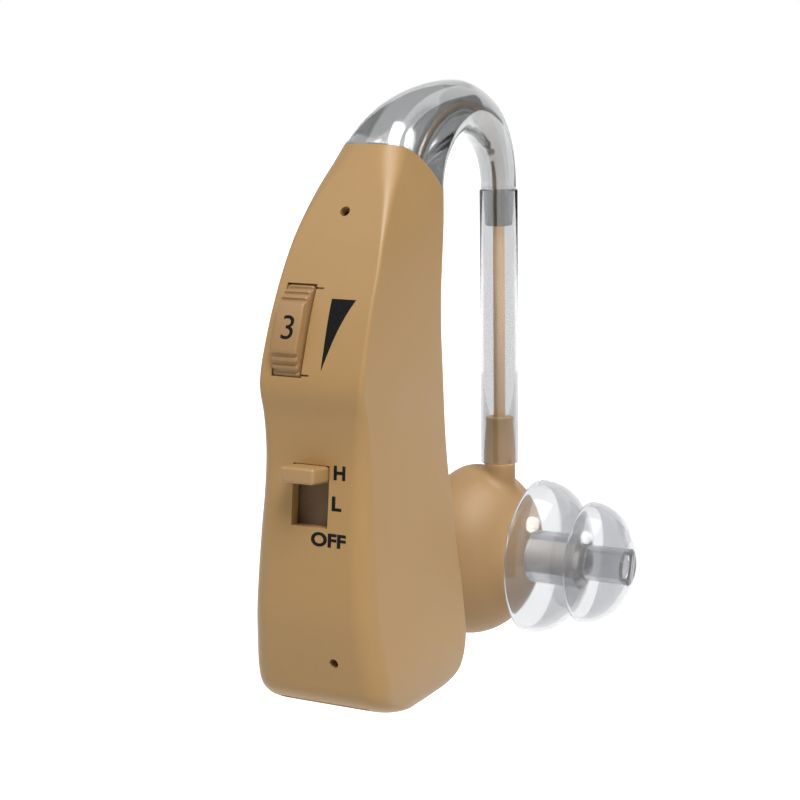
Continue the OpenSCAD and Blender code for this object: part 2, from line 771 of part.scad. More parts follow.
function leg_thickness(a) = leg_r + (crown_a - leg_r) * pow(a / crown_end, 2);
function hook_point(a, i) = let (c = hook_centre(a), r = leg_thickness(a),
    b = 180 + 360 * (i + 0.5) / hook_points)
    [r * cos(b), c[0] - r * sin(b) * cos(a), c[1] - r * sin(b) * sin(a)];
function blend_point(p, q, u, v, s) = let (l = hook_pull * norm(q - p))
    (1 + 2 * s) * (1 - s) * (1 - s) * p + s * (1 - s) * (1 - s) * l * u
    + s * s * (3 - 2 * s) * q - s * s * (1 - s) * l * v;

module hook_skin() {
    starts = [for (i = [0:hook_points - 1]) joint_search(i, 0.85 * case_h, level(last_row)[0])];
    way = [0, sin(crown_end), -cos(crown_end)];
    lower = [for (k = [0:hook_rings - 1]) [for (i = [0:hook_points - 1])
        let (p = case_point(i, starts[i]), u = unit(case_point(i, starts[i] + slope_step / 4) - p))
        blend_point(p, hook_point(crown_end, i), u, way, k / hook_rings)]];
    upper = [for (k = [0:hook_rings]) [for (i = [0:hook_points - 1])
        hook_point(crown_end * (1 - k / hook_rings), i)]];
    foot = [for (p = upper[hook_rings]) [p[0], p[1], tube_top + run_gap]];
    skin(concat(lower, upper, [foot]));
}

module ear_hook() color([0.80, 0.81, 0.82, 0.6]) {
    difference() {
        union() {
            hook_skin();
            wire(hook_place - bite * hook_way, hook_place + tenon_l * hook_way, tenon_r);
            translate([0, tube_y, tube_top - spigot_straight])
                cylinder(r = spigot_r, h = spigot_straight + bite);
            translate([0, tube_y, tube_top - spigot_l])
                cylinder(r1 = spigot_end_r, r2 = spigot_r, h = spigot_l - spigot_straight);
        }
        hook_core(hook_bore_r, tenon_l + over, tube_top - spigot_l - over);
    }
}

module lead_in_hook() color([0.82, 0.72, 0.60])
    hook_core(lead_r, tenon_l + lead_past, tube_top - spigot_l);

module lead_wires() color([0.75, 0.15, 0.12]) {
    end = hook_place + (tenon_l + lead_past) * hook_way;
    for (side = [-1, 1]) wire(end + [side * 2 * wire_r, 0, 0],
        [board_x, board_back - part_gap + side * 2 * wire_r, board_z1 - part_gap / 2], wire_r);
}

// The tube and its lead

module clear_tube() color([0.85, 0.87, 0.88, 0.35]) {
    translate([0, tube_y, tube_top - tube_l]) difference() {
        cylinder(r = tube_r, h = tube_l);
        translate([0, 0, -over]) cylinder(r = tube_bore_r, h = tube_l + 2 * over);
    }
}

module lead_in_tube() color([0.83, 0.73, 0.61]) {
    low = tube_top - tube_l + stem_in - over;
    translate([0, tube_y, low]) cylinder(r = lead_r, h = tube_top - spigot_l - run_gap - low);
}

// The receiver

module on_bulb() {
    translate([0, tube_y, bulb_z]) about_x() children();
}

// Half outline of the bulb as radius and place along X, drawn in by inset
function bulb_arc(length, inset, from, to) = [for (k = [0:dome_points])
    let (a = from + (to - from) * k / dome_points)
    [(bulb_r - inset) * cos(a), bulb_x + (length - inset) * sin(a)]];
function bulb_half(inset) = concat([[0, bulb_x - bulb_flat + inset]],
    bulb_arc(bulb_rear, inset, -asin((bulb_flat - inset) / (bulb_rear - inset)), 0),
    bulb_arc(bulb_front, inset, 90 / dome_points, acos(collar_r / bulb_r)),
    [[0, bulb_x + (bulb_front - inset) * sin(acos(collar_r / bulb_r))]]);
module bulb_form(inset) rotate_extrude() polygon(bulb_half(inset));

module receiver_housing() color([0.63, 0.51, 0.38]) {
    difference() {
        union() {
            on_bulb() bulb_form(0);
            on_bulb() translate([0, 0, collar_x - bulb_wall]) cylinder(r = nozzle_r,
                h = nozzle_end - collar_x + bulb_wall);
            translate([0, tube_y, bulb_z + 0.8 * bulb_r])
                cylinder(r = stem_r, h = tube_top - tube_l + over - bulb_z - 0.8 * bulb_r);
            translate([0, tube_y, tube_top - tube_l + over])
                cylinder(r1 = stem_r, r2 = stem_top_r, h = stem_in - over);
        }
        on_bulb() bulb_form(bulb_wall);
        on_bulb() cylinder(r = nozzle_bore_r, h = nozzle_end + over);
        translate([0, tube_y, bulb_z + bulb_r / 2]) cylinder(r = stem_bore_r, h = tube_l);
        translate([-case_w, tube_y - 2 * bulb_r, bulb_z - 2 * bulb_r])
            cube([case_w + bulb_x - cap_split, 4 * bulb_r, 4 * bulb_r]);
    }
}

module receiver_back_cap() color([0.61, 0.49, 0.36]) {
    intersection() {
        difference() {
            on_bulb() bulb_form(0);
            on_bulb() bulb_form(bulb_wall);
        }
        translate([-case_w - seam_gap, tube_y - 2 * bulb_r, bulb_z - 2 * bulb_r])
            cube([case_w + bulb_x - cap_split, 4 * bulb_r, 4 * bulb_r]);
    }
}

module receiver_frame() color([0.15, 0.15, 0.16]) {
    on_bulb() translate([0, 0, driver_x0]) difference() {
        cylinder(r = driver_r, h = driver_x1 - driver_x0);
        translate([0, 0, -over]) cylinder(r = driver_r - driver_wall, h = case_w);
    }
    for (a = [45:90:315]) on_bulb() rotate([0, 0, a])
        block([driver_r - driver_wall / 2, -driver_wall, bulb_x - driver_wall],
            [bulb_r - bulb_wall - bite, driver_wall, bulb_x + driver_wall]);
}

module receiver_yoke() color([0.55, 0.56, 0.58]) {
    on_bulb() translate([0, 0, driver_x0]) difference() {
        cylinder(r = yoke_r, h = yoke_t + magnet_t);
        translate([0, 0, yoke_t]) cylinder(r = yoke_r - yoke_t, h = case_w);
    }
    on_bulb() translate([0, 0, driver_x0]) difference() {
        cylinder(r = driver_r - driver_wall - press_gap, h = yoke_t / 2);
        translate([0, 0, -over]) cylinder(r = yoke_r - yoke_t, h = case_w);
    }
}

module receiver_magnet() color([0.70, 0.71, 0.73])
    on_bulb() translate([0, 0, driver_x0 + yoke_t]) cylinder(r = magnet_r, h = magnet_t);

module receiver_coil() color([0.72, 0.42, 0.22]) {
    on_bulb() translate([0, 0, driver_x1 - film_t - coil_l]) difference() {
        cylinder(r = coil_r, h = coil_l);
        translate([0, 0, -over]) cylinder(r = coil_r - coil_t, h = case_w);
    }
}

module receiver_diaphragm() color([0.80, 0.78, 0.70])
    on_bulb() translate([0, 0, driver_x1 - film_t])
        cylinder(r = driver_r - driver_wall - press_gap, h = film_t);

module wax_filter() color([0.90, 0.90, 0.88]) {
    on_bulb() translate([0, 0, nozzle_end - 2 * filter_t]) difference() {
        cylinder(r = nozzle_bore_r - press_gap, h = filter_t);
        for (a = [0:60:300]) rotate([0, 0, a]) translate([nozzle_bore_r / 2, 0, -over])
            cylinder(r = nozzle_bore_r / 7, h = 3 * over, $fn = 16);
    }
}

// The ear tip: two soft flanges on a sleeve, open towards the receiver

// A quarter of an oval as radius and place, from its crown radius to its rim
function dome(r, x, length, crown) = [for (k = [0:dome_points])
    let (a = asin(crown / r) + (90 - asin(crown / r)) * k / dome_points)
    [r * sin(a), x + length * cos(a)]];
function back_to_front(list) = [for (k = [len(list) - 1:-1:0]) list[k]];

module ear_tip() color([0.88, 0.89, 0.90, 0.45]) {
    bore = nozzle_r + run_gap;
    half = concat(
        [[bore, sleeve_x0], [sleeve_r, sleeve_x0]],
        dome(flange_r - flange_t, flange_x, flange_l - 1.3 * flange_t, sleeve_r),
        back_to_front(dome(flange_r, flange_x, flange_l, sleeve_r)),
        [[spout_r, annulus_x]],
        dome(tip_r - flange_t, tip_x, tip_l - 1.6 * flange_t, spout_r),
        back_to_front(dome(tip_r, tip_x, tip_l, lip_r)),
        [[spout_r, outlet_x + lip_r - spout_r], [outlet_r, outlet_x],
            [outlet_r, nozzle_end + body_gap], [bore, nozzle_end + body_gap]]);
    on_bulb() rotate_extrude() polygon(half);
}

// Every piece, with the origin at the crook of the hook

module placed() {
    translate(-ear_rest) children();
}

placed() main_case();
placed() inner_cover();
placed() cover_screws();
placed() battery_door();
placed() door_hinge_pin();
placed() battery_can();
placed() battery_seal();
placed() battery_cap();
placed() contact_positive();
placed() contact_negative();
placed() circuit_board();
placed() amplifier_chip();
placed() capacitors();
placed() resistors();
placed() battery_wire();
placed() microphone_capsule();
placed() microphone_boot();
placed() microphone_mesh();
placed() microphone_wires();
placed() volume_wheel();
placed() volume_shaft();
placed() volume_wiper();
placed() volume_track_body();
placed() volume_pins();
placed() switch_knob();
placed() switch_slider_contact();
placed() switch_housing();
placed() switch_pads();
placed() switch_pins();
placed() ear_hook();
placed() lead_in_hook();
placed() lead_wires();
placed() clear_tube();
placed() lead_in_tube();
placed() receiver_housing();
placed() receiver_back_cap();
placed() receiver_frame();
placed() receiver_yoke();
placed() receiver_magnet();
placed() receiver_coil();
placed() receiver_diaphragm();
placed() wax_filter();
placed() ear_tip();
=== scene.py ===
# %% [markdown]
# # A hearing aid that sits behind the ear
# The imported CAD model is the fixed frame: every piece made here takes its place from it, in
# metres, and moves with one of its bodies. The case, hook, tube, receiver and tip are built
# again as smooth skins, because the CAD's facets would show in a close view.

# %% Load the frame
import math
import bmesh
import bpy
from mathutils import Matrix, Vector


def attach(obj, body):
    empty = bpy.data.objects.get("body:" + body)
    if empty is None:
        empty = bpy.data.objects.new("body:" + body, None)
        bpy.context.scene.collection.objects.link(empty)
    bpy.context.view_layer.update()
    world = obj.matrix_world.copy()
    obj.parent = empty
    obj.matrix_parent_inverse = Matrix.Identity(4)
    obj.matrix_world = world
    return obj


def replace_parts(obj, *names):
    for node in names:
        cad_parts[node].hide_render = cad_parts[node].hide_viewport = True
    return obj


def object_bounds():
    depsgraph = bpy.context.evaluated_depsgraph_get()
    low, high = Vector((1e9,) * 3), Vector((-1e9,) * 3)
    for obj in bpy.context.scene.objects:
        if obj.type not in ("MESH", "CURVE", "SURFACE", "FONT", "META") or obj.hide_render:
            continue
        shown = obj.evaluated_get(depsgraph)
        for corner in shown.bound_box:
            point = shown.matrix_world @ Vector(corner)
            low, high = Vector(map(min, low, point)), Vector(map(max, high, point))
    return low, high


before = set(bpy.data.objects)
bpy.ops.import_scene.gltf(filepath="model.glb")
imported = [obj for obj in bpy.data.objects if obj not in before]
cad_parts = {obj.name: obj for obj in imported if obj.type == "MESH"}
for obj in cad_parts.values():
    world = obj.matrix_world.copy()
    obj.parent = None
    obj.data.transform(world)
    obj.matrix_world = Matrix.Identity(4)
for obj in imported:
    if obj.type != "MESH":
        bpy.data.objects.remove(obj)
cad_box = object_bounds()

print("CAD box", [[round(v, 5) for v in corner] for corner in cad_box])

# %% [markdown]
# Sizes are easiest to read in millimetres from the underside of the case, so `at` turns such
# a place into metres from the crook of the hook, which is the frame's origin.

# %% Places
MM = 0.001
EAR_REST = Vector((0, 9.3012, 42.2273))


def at(x, y, z):
    return (Vector((x, y, z)) - EAR_REST) * MM


# %% [markdown]
# ## The camera
# The photograph was taken with a long lens from in front, a little to the right and above.
# The camera looks at a point between the case and the tube, and is rolled by under a degree.

# %% Camera
VIEW = {"azimuth": 28, "elevation": 11, "roll": -0.8, "distance": 0.15708, "lens": 90}
VIEW_HEIGHT = 22.2


def add_camera(target, azimuth, elevation, roll, distance, lens):
    a, e = math.radians(azimuth), math.radians(elevation)
    back = Vector((math.sin(a) * math.cos(e), -math.cos(a) * math.cos(e), math.sin(e)))
    right = Vector((math.cos(a), math.sin(a), 0))
    up = back.cross(right)
    r = math.radians(roll)
    side = right * math.cos(r) + up * math.sin(r)
    top = up * math.cos(r) - right * math.sin(r)
    data = bpy.data.cameras.new("camera")
    data.lens, data.sensor_width, data.clip_start = lens, 36, 0.01
    camera = bpy.data.objects.new("camera", data)
    bpy.context.collection.objects.link(camera)
    turn = Matrix((side, top, back)).transposed().to_4x4()
    camera.matrix_world = Matrix.Translation(target + back * distance) @ turn
    bpy.context.scene.camera = camera
    return camera


camera = add_camera(at(0, 0, VIEW_HEIGHT), **VIEW)
print("camera at", [round(v, 4) for v in camera.location])

# %% [markdown]
# ## Helpers for modelling
# Each helper wraps a few operators that would be clicked by hand. An operator works on all
# that is selected, so each one starts from nothing selected.

# %% Select, edit and cut
def pick(*pieces):
    bpy.ops.object.select_all(action="DESELECT")
    for piece in pieces:
        piece.select_set(True)
    bpy.context.view_layer.objects.active = pieces[0]


def edit(piece, choose=None):
    """Opens a piece in edit mode with the vertices selected that choose() says yes to."""
    pick(piece)
    bpy.ops.object.mode_set(mode="EDIT")
    bpy.ops.mesh.select_mode(type="VERT")
    bpy.ops.mesh.select_all(action="SELECT" if choose is None else "DESELECT")
    if choose is not None:
        mesh = bmesh.from_edit_mesh(piece.data)
        for v in mesh.verts:
            v.select = choose(v)
        mesh.select_flush_mode()
        bmesh.update_edit_mesh(piece.data)


def leave():
    bpy.ops.object.mode_set(mode="OBJECT")


def apply_place(piece):
    pick(piece)
    bpy.ops.object.transform_apply(location=True, rotation=True, scale=True)
    return piece


def tidy_mesh(piece):
    edit(piece)
    bpy.ops.mesh.remove_doubles(threshold=2e-6)
    bpy.ops.mesh.dissolve_degenerate(threshold=1e-7)
    bpy.ops.mesh.delete_loose()
    bpy.ops.mesh.select_all(action="SELECT")
    bpy.ops.mesh.normals_make_consistent(inside=False)
    leave()
    return piece


def smooth(piece, angle=35):
    pick(piece)
    bpy.ops.object.shade_smooth_by_angle(angle=math.radians(angle))
    return piece


def combine(piece, tool, how="DIFFERENCE"):
    """Cuts tool out of piece, or joins it to it, and removes tool."""
    m = piece.modifiers.new("combine", "BOOLEAN")
    m.operation, m.object, m.solver = how, tool, "EXACT"
    pick(piece)
    bpy.ops.object.modifier_apply(modifier=m.name)
    bpy.data.objects.remove(tool)
    return piece


def round_edges(piece, width, segments=2, angle=50):
    m = piece.modifiers.new("round", "BEVEL")
    m.width, m.segments, m.limit_method = width * MM, segments, "ANGLE"
    m.angle_limit, m.use_clamp_overlap = math.radians(angle), True
    pick(piece)
    bpy.ops.object.modifier_apply(modifier=m.name)
    return piece


# %% Primitives at a place, in millimetres
FAR = 30


def box(name, low, high, place=Matrix.Identity(4)):
    low, high = Vector(low), Vector(high)
    bpy.ops.object.select_all(action="DESELECT")
    bpy.ops.mesh.primitive_cube_add(size=1)
    piece = bpy.context.object
    piece.name = name
    sizes = Matrix.Diagonal((high - low).to_4d())
    sizes[3][3] = 1
    piece.matrix_world = in_metres(place @ Matrix.Translation((low + high) / 2) @ sizes)
    return apply_place(piece)


def in_metres(matrix):
    return Matrix.Translation(-EAR_REST * MM) @ Matrix.Scale(MM, 4) @ matrix


ALONG_X = Matrix.Rotation(math.radians(90), 4, "Y")
ALONG_Y = Matrix.Rotation(math.radians(-90), 4, "X")


def rod(name, radius, start, end, place=Matrix.Identity(4), sides=64):
    """A round rod from start to end along the place's own Z."""
    bpy.ops.object.select_all(action="DESELECT")
    bpy.ops.mesh.primitive_cylinder_add(vertices=sides, radius=radius, depth=end - start)
    piece = bpy.context.object
    piece.name = name
    piece.matrix_world = in_metres(place @ Matrix.Translation((0, 0, (start + end) / 2)))
    return apply_place(piece)


def x_rod(name, radius, x0, x1, y, z, sides=64):
    return rod(name, radius, x0, x1, Matrix.Translation((0, y, z)) @ ALONG_X, sides)


# %% [markdown]
# A long changing form, such as the case, is pulled up ring by ring. The extruded ring keeps
# its points in place, and then each point goes to its own spot on the next outline, because
# every level has its own width, depth and corner radius, which no single scale gives.

# %% Loft and lathe
def loft(name, rings):
    count = len(rings[0])
    bpy.ops.object.select_all(action="DESELECT")
    bpy.ops.mesh.primitive_circle_add(vertices=count, radius=MM)
    piece = bpy.context.object
    piece.name = name
    bpy.ops.object.mode_set(mode="EDIT")
    bpy.ops.mesh.select_all(action="SELECT")
    mesh = bmesh.from_edit_mesh(piece.data)
    mesh.verts.ensure_lookup_table()
    ring = list(mesh.verts)
    for k, points in enumerate(rings):
        if k:
            bpy.ops.mesh.extrude_edges_move()
            mesh = bmesh.from_edit_mesh(piece.data)
            place = {tuple(v.co): v for v in mesh.verts if v.select}
            ring = [place[c] for c in spots]
        for v, p in zip(ring, points):
            v.co = at(*p)
        spots = [tuple(v.co) for v in ring]
    bpy.ops.mesh.edge_face_add()
    mesh = bmesh.from_edit_mesh(piece.data)
    mesh.verts.ensure_lookup_table()
    for v in mesh.verts:
        v.select = v.index < count
    mesh.select_flush_mode()
    bmesh.update_edit_mesh(piece.data)
    bpy.ops.mesh.edge_face_add()
    leave()
    return tidy_mesh(piece)


def lathe(name, profile, centre, axis="X", steps=96):
    """Spins a closed outline of (radius, distance along the axis) about an axis."""
    bpy.ops.object.select_all(action="DESELECT")
    bpy.ops.mesh.primitive_circle_add(vertices=len(profile), radius=MM)
    piece = bpy.context.object
    piece.name = name
    for v, (r, d) in zip(piece.data.vertices, profile):
        shift = (d, r, 0) if axis == "X" else (r, 0, d)
        v.co = at(*(Vector(centre) + Vector(shift)))
    edit(piece)
    direction = (1, 0, 0) if axis == "X" else (0, 0, 1)
    bpy.ops.mesh.spin(steps=steps, angle=2 * math.pi, center=at(*centre), axis=direction)
    leave()
    return tidy_mesh(piece)


def arc(centre, radius, start, end, points=8, stretch=(1, 1)):
    """Points of an arc in a plane, from one angle to another in degrees."""
    angles = [math.radians(start + (end - start) * k / (points - 1)) for k in range(points)]
    return [(centre[0] + radius * stretch[0] * math.cos(a),
             centre[1] + radius * stretch[1] * math.sin(a)) for a in angles]


# %% [markdown]
# ## The form of the case
# The case is one table of outlines from the underside up: height as a share of its height,
# width of its width, the control face and the ear side as shares of its depth, and the radii
# of the front and rear corners. A smooth curve runs through the rows.

# %% Levels of the case
CASE_H, CASE_W, CASE_D, WALL = 42.4, 11.1, 14.9, 0.9
LEVELS = [
    (0.000, 0.800, 0.600, -0.290, 0.130, 0.060), (0.006, 0.890, 0.645, -0.195, 0.140, 0.060),
    (0.014, 0.935, 0.740, -0.095, 0.150, 0.055), (0.026, 0.968, 0.825, -0.030, 0.155, 0.050),
    (0.040, 0.982, 0.892, 0.000, 0.160, 0.045), (0.061, 0.996, 0.940, 0.020, 0.165, 0.045),
    (0.094, 1.000, 0.960, 0.034, 0.165, 0.045), (0.139, 0.966, 0.980, 0.040, 0.160, 0.045),
    (0.196, 0.930, 0.996, 0.033, 0.155, 0.045), (0.259, 0.896, 0.991, 0.010, 0.150, 0.045),
    (0.340, 0.856, 0.970, -0.010, 0.140, 0.045), (0.415, 0.817, 0.942, -0.027, 0.125, 0.045),
    (0.483, 0.795, 0.923, -0.037, 0.105, 0.045), (0.545, 0.788, 0.924, -0.044, 0.075, 0.045),
    (0.590, 0.786, 0.939, -0.050, 0.045, 0.045), (0.618, 0.784, 0.930, -0.054, 0.035, 0.045),
    (0.660, 0.779, 0.890, -0.057, 0.030, 0.045), (0.726, 0.758, 0.815, -0.040, 0.030, 0.045),
    (0.795, 0.730, 0.714, 0.000, 0.030, 0.045), (0.857, 0.676, 0.615, 0.064, 0.040, 0.055),
    (0.921, 0.597, 0.493, 0.144, 0.085, 0.090), (0.974, 0.514, 0.386, 0.221, 0.160, 0.150),
    (1.026, 0.414, 0.268, 0.309, 0.170, 0.165),
]
SIZES = (CASE_H, CASE_W, CASE_D, CASE_D, CASE_W, CASE_W)
LAST = len(LEVELS) - 1


def level(t):
    i = min(int(t), LAST - 1)
    a, b, c, d = (LEVELS[max(0, min(LAST, i + k))] for k in (-1, 0, 1, 2))
    u = t - i
    return [size * (q + u * ((r - p) / 2 + u * (p - 2.5 * q + 2 * r - s / 2
            + u * (1.5 * (q - r) + (s - p) / 2))))
            for p, q, r, s, size in zip(a, b, c, d, SIZES)]


def level_at(z):
    low, high = 0.0, float(LAST)
    for _ in range(30):
        middle = (low + high) / 2
        low, high = (middle, high) if level(middle)[0] < z else (low, middle)
    return level(low)


def face_y(z):
    return -level_at(z)[2]


def ear_side_y(z):
    return level_at(z)[3]


SLOPE_STEP = 0.01 * CASE_H


def tilt(side, z):
    return math.atan((side(z + SLOPE_STEP) - side(z - SLOPE_STEP)) / (2 * SLOPE_STEP))


def on_side(side, z):
    """A place on the control face or the ear side, with Y into the case or out of it."""
    return Matrix.Translation((0, side(z), z)) @ Matrix.Rotation(-tilt(side, z), 4, "X")


# %% Outlines of the case
CORNER = 9
LEAST_R = 0.1


def outline(hw, y0, y1, rf, rb, z, points=CORNER):
    corners = [(rf - hw, y0 + rf, rf, 180), (hw - rf, y0 + rf, rf, 270),
               (hw - rb, y1 - rb, rb, 0), (rb - hw, y1 - rb, rb, 90)]
    return [(x, y, z) for cx, cy, r, a in corners
            for x, y in arc((cx, cy), r, a, a + 90, points)]


def case_ring(z, side=0, front=0, back=0, shift=(0, 0)):
    s = level_at(z - shift[1])
    ring = outline(s[1] / 2 - side, -s[2] + front, s[3] - back,
                   max(LEAST_R, s[4] - side), max(LEAST_R, s[5] - side), z)
    return [(x, y + shift[0], z) for x, y, _ in ring]


def heights(z0, z1, steps=6):
    middle = [level(k / steps)[0] for k in range(steps * LAST + 1)]
    return [z0] + [z for z in middle if z0 + 0.05 < z < z1 - 0.05] + [z1]


def case_form(name, z0, z1, side=0, front=0, back=0, shift=(0, 0)):
    return loft(name, [case_ring(z, side, front, back, shift) for z in heights(z0, z1)])


def ear_side_slab(name, z0, z1, side, thick, rise, edge=LEAST_R):
    rings = []
    for z in heights(z0, z1):
        s = level_at(z)
        rings.append(outline(s[1] / 2 - side, s[3] - thick, s[3] + rise, edge, edge, z, 4))
    return loft(name, rings)


# %% Joint between the case and the hook
TOP = level(LAST)[0]
JOINT_R, JOINT_Y, JOINT_Z = 9.34, -6.365, 33.3


def joint_height(y):
    """The joint is part of a drum that lies across the case."""
    return JOINT_Z + math.sqrt(max(0, JOINT_R ** 2 - max(0, y - JOINT_Y) ** 2))


def under_joint(name, gap=0.0):
    r = JOINT_R - gap
    side = ([(-FAR, JOINT_Z + r), (-FAR, -5), (FAR, -5), (FAR, JOINT_Z)]
            + arc((JOINT_Y, JOINT_Z), r, 0, 90, 72))
    return loft(name, [[(x, y, z) for y, z in side] for x in (-9, 9)])


# %% [markdown]
# ## The case
# The real case is a thin moulded shell. It is made as a solid, cut where the hook sits, and
# hollowed with a smaller copy of its own form. Boxes and rods then cut the battery bay, the
# window for the dial, the switch slot and the two small holes. The joint with the hook is a
# slice of a drum, because the line between them curves down towards the back.

# %% Sizes inside the case
DOOR_H, DOOR_T, SEAM, RUN = 15.0, 0.95, 0.08, 0.05
CELL_R, CELL_T, CELL_Y, CELL_Z = 5.8, 5.4, -6.5893, 7.06
BAY = CELL_T / 2 + 1.2 * WALL
PIN_Y, PIN_Z, PIN_R = -11.6492, 2.07, 0.45
BARREL_R = PIN_R + 0.65 * WALL
TOE_Z = 2.9 * WALL
COVER_Z0, COVER_Z1 = DOOR_H + 2 * SEAM, 0.845 * CASE_H
BAR_Z = (DOOR_H + 2.3, COVER_Z1 - 1.6)
WHEEL_R, WHEEL_W, WHEEL_X, WHEEL_Z = 4.9, 2.2, -2.05, 29.5
WHEEL_TURN = tilt(face_y, WHEEL_Z)
WHEEL_DEEP = WHEEL_R - 1.15
WHEEL_C = (0, face_y(WHEEL_Z) + WHEEL_DEEP * math.cos(WHEEL_TURN),
           WHEEL_Z - WHEEL_DEEP * math.sin(WHEEL_TURN))
SLOT_X, SLOT_Z, SLOT_W, SLOT_L = -0.05, 17.6, 3.05, 4.6
PORT_Z, VENT_X, VENT_Z = 0.8915 * CASE_H, 1.9, 0.1225 * CASE_H
print("dial axis", [round(v, 5) for v in at(*WHEEL_C)])

# %% Build the shell
shell = case_form("case_shell", 0, TOP)
combine(shell, under_joint("joint_limit"), "INTERSECT")
hollow = case_form("hollow", DOOR_H, TOP - 0.2, WALL, WALL, WALL)
combine(hollow, under_joint("hollow_limit", WALL), "INTERSECT")
combine(shell, hollow)
combine(shell, ear_side_slab("recess", DOOR_H - 0.4, COVER_Z1 + SEAM, WALL, 2 * WALL, 1))

bay = case_form("bay", TOE_Z - 0.2, DOOR_H - 0.8, 0, WALL, -1)
combine(bay, box("bay_sides", (-BAY, -FAR, TOE_Z), (BAY, FAR, DOOR_H)), "INTERSECT")
combine(shell, bay)
skin_room = ear_side_slab("skin_room", TOE_Z, DOOR_H + 0.2, 0, DOOR_T + SEAM, 1)
combine(skin_room, box("room_sides", (-BAY, -FAR, 0), (BAY, FAR, 20)), "INTERSECT")
combine(shell, skin_room)
combine(shell, box("foot_room", (-BAY, PIN_Y, -1), (BAY, 15, TOE_Z + 0.2)))
combine(shell, x_rod("barrel_room", BARREL_R + 0.45, -BAY, BAY, PIN_Y, PIN_Z))

# %% Window, slot and holes
WHEEL_ROOM, WINDOW_DEEP = 0.12, 2.7
LINE_LONG, LINE_DEEP, LINE_HALF = 0.6, 0.4, 0.07
SWITCH_HALF_W, SWITCH_HALF_L = 2.275, 2.65
PORT_R, VENT_R, HOLE_DEEP = 0.4, 0.36, 1.8
window_x = (WHEEL_X - WHEEL_W / 2 - 0.11, WHEEL_X + WHEEL_W / 2 + 0.22)
half = math.sqrt(WHEEL_R ** 2 - WHEEL_DEEP ** 2) + WHEEL_ROOM
combine(shell, box("window", (window_x[0], -1, -half), (window_x[1], WINDOW_DEEP, half),
                   on_side(face_y, WHEEL_Z)))
combine(shell, x_rod("wheel_room", WHEEL_R + WHEEL_ROOM, *window_x, WHEEL_C[1], WHEEL_C[2], 128))
for end in (-half, half):
    combine(shell, box("gap_line", (window_x[1] - 0.1, -1, end - LINE_HALF),
                       (window_x[1] + LINE_LONG, LINE_DEEP, end + LINE_HALF),
                       on_side(face_y, WHEEL_Z)))
slot_place = on_side(face_y, SLOT_Z)
slot_x = (SLOT_X - SLOT_W / 2, SLOT_X + SLOT_W / 2)
combine(shell, box("slot", (slot_x[0], -1, -SLOT_L / 2), (slot_x[1], HOLE_DEEP, SLOT_L / 2),
                   slot_place))
combine(shell, box("switch_room", (SLOT_X - SWITCH_HALF_W, WALL, -SWITCH_HALF_L),
                   (SLOT_X + SWITCH_HALF_W, WINDOW_DEEP, SWITCH_HALF_L), slot_place))
for x, z, radius in ((0, PORT_Z, PORT_R), (VENT_X, VENT_Z, VENT_R)):
    place = on_side(face_y, z) @ Matrix.Translation((x, 0, 0)) @ ALONG_Y
    combine(shell, rod("hole", radius, -1, HOLE_DEEP, place, 32))
print("case shell", len(shell.data.polygons), "faces")

# %% Bars for the cover's screws, and slots for the contacts
BAR_LOW, BAR_HIGH, BAR_HALF = -WALL - 1.72, -WALL - 0.12, 1
CONTACT_X, CONTACT_HALF_T, CONTACT_HALF_W = CELL_T / 2 + 0.675, 0.13, 0.85
for z in BAR_Z:
    hw = level_at(z)[1] / 2 - WALL + 0.1
    combine(shell, box("bar", (-hw, BAR_LOW, -BAR_HALF), (hw, BAR_HIGH, BAR_HALF),
                       on_side(ear_side_y, z)), "UNION")
for x in (-CONTACT_X, CONTACT_X):
    combine(shell, box("contact_slot",
                       (x - CONTACT_HALF_T, CELL_Y - CONTACT_HALF_W, DOOR_H - 2),
                       (x + CONTACT_HALF_T, CELL_Y + CONTACT_HALF_W, DOOR_H + 1)))
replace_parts(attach(shell, "case"), "main_case")

# %% [markdown]
# ## The ear hook
# The hook grows out of the case's outline and turns into a round leg. Its rings start at the
# joint, follow a curve that leaves in the direction of the case's own sides, and end in the
# spigot that the tube is pushed onto. The lead runs in a bore along its middle.

# %% Centre line of the hook
TUBE_Y, TUBE_R, TUBE_BORE, TUBE_TOP, TUBE_L = 18.4, 1.65, 1.38, 37.2, 23.7
BEND_R, CROWN_R, CROWN_A, LEG_R = 0.337 * TUBE_Y, 0.652 * TUBE_Y, 2.25, 1.55
BEND_TURN, CROWN_TURN, CROWN_END = 60, 139, 85
BEND_C = Vector((TUBE_Y - BEND_R, TUBE_TOP + 0.3))
CROWN_C = BEND_C + (BEND_R - CROWN_R) * Vector(
    (math.cos(math.radians(BEND_TURN)), math.sin(math.radians(BEND_TURN))))
LEAD_R = 0.5


def hook_centre(a):
    c, r = (BEND_C, BEND_R) if a < BEND_TURN else (CROWN_C, CROWN_R)
    return c + r * Vector((math.cos(math.radians(a)), math.sin(math.radians(a))))


def hook_ring(c, a, r, count):
    a = math.radians(a)
    ring = []
    for i in range(count):
        b = math.radians(180 + 360 * (i + 0.5) / count)
        ring.append(Vector((r * math.cos(b), c[0] - r * math.sin(b) * math.cos(a),
                            c[1] - r * math.sin(b) * math.sin(a))))
    return ring


HOOK_FOOT = hook_centre(CROWN_TURN)
HOOK_WAY = Vector((0, -math.sin(math.radians(CROWN_TURN)), math.cos(math.radians(CROWN_TURN))))


def core(name, radius, past, down, count=24):
    start = HOOK_FOOT + past * Vector(HOOK_WAY[1:])
    turns = [CROWN_TURN * (1 - k / 48) for k in range(49)]
    return loft(name, [hook_ring(start, CROWN_TURN, radius, count)]
                + [hook_ring(hook_centre(a), a, radius, count) for a in turns]
                + [hook_ring((TUBE_Y, down), 0, radius, count)])


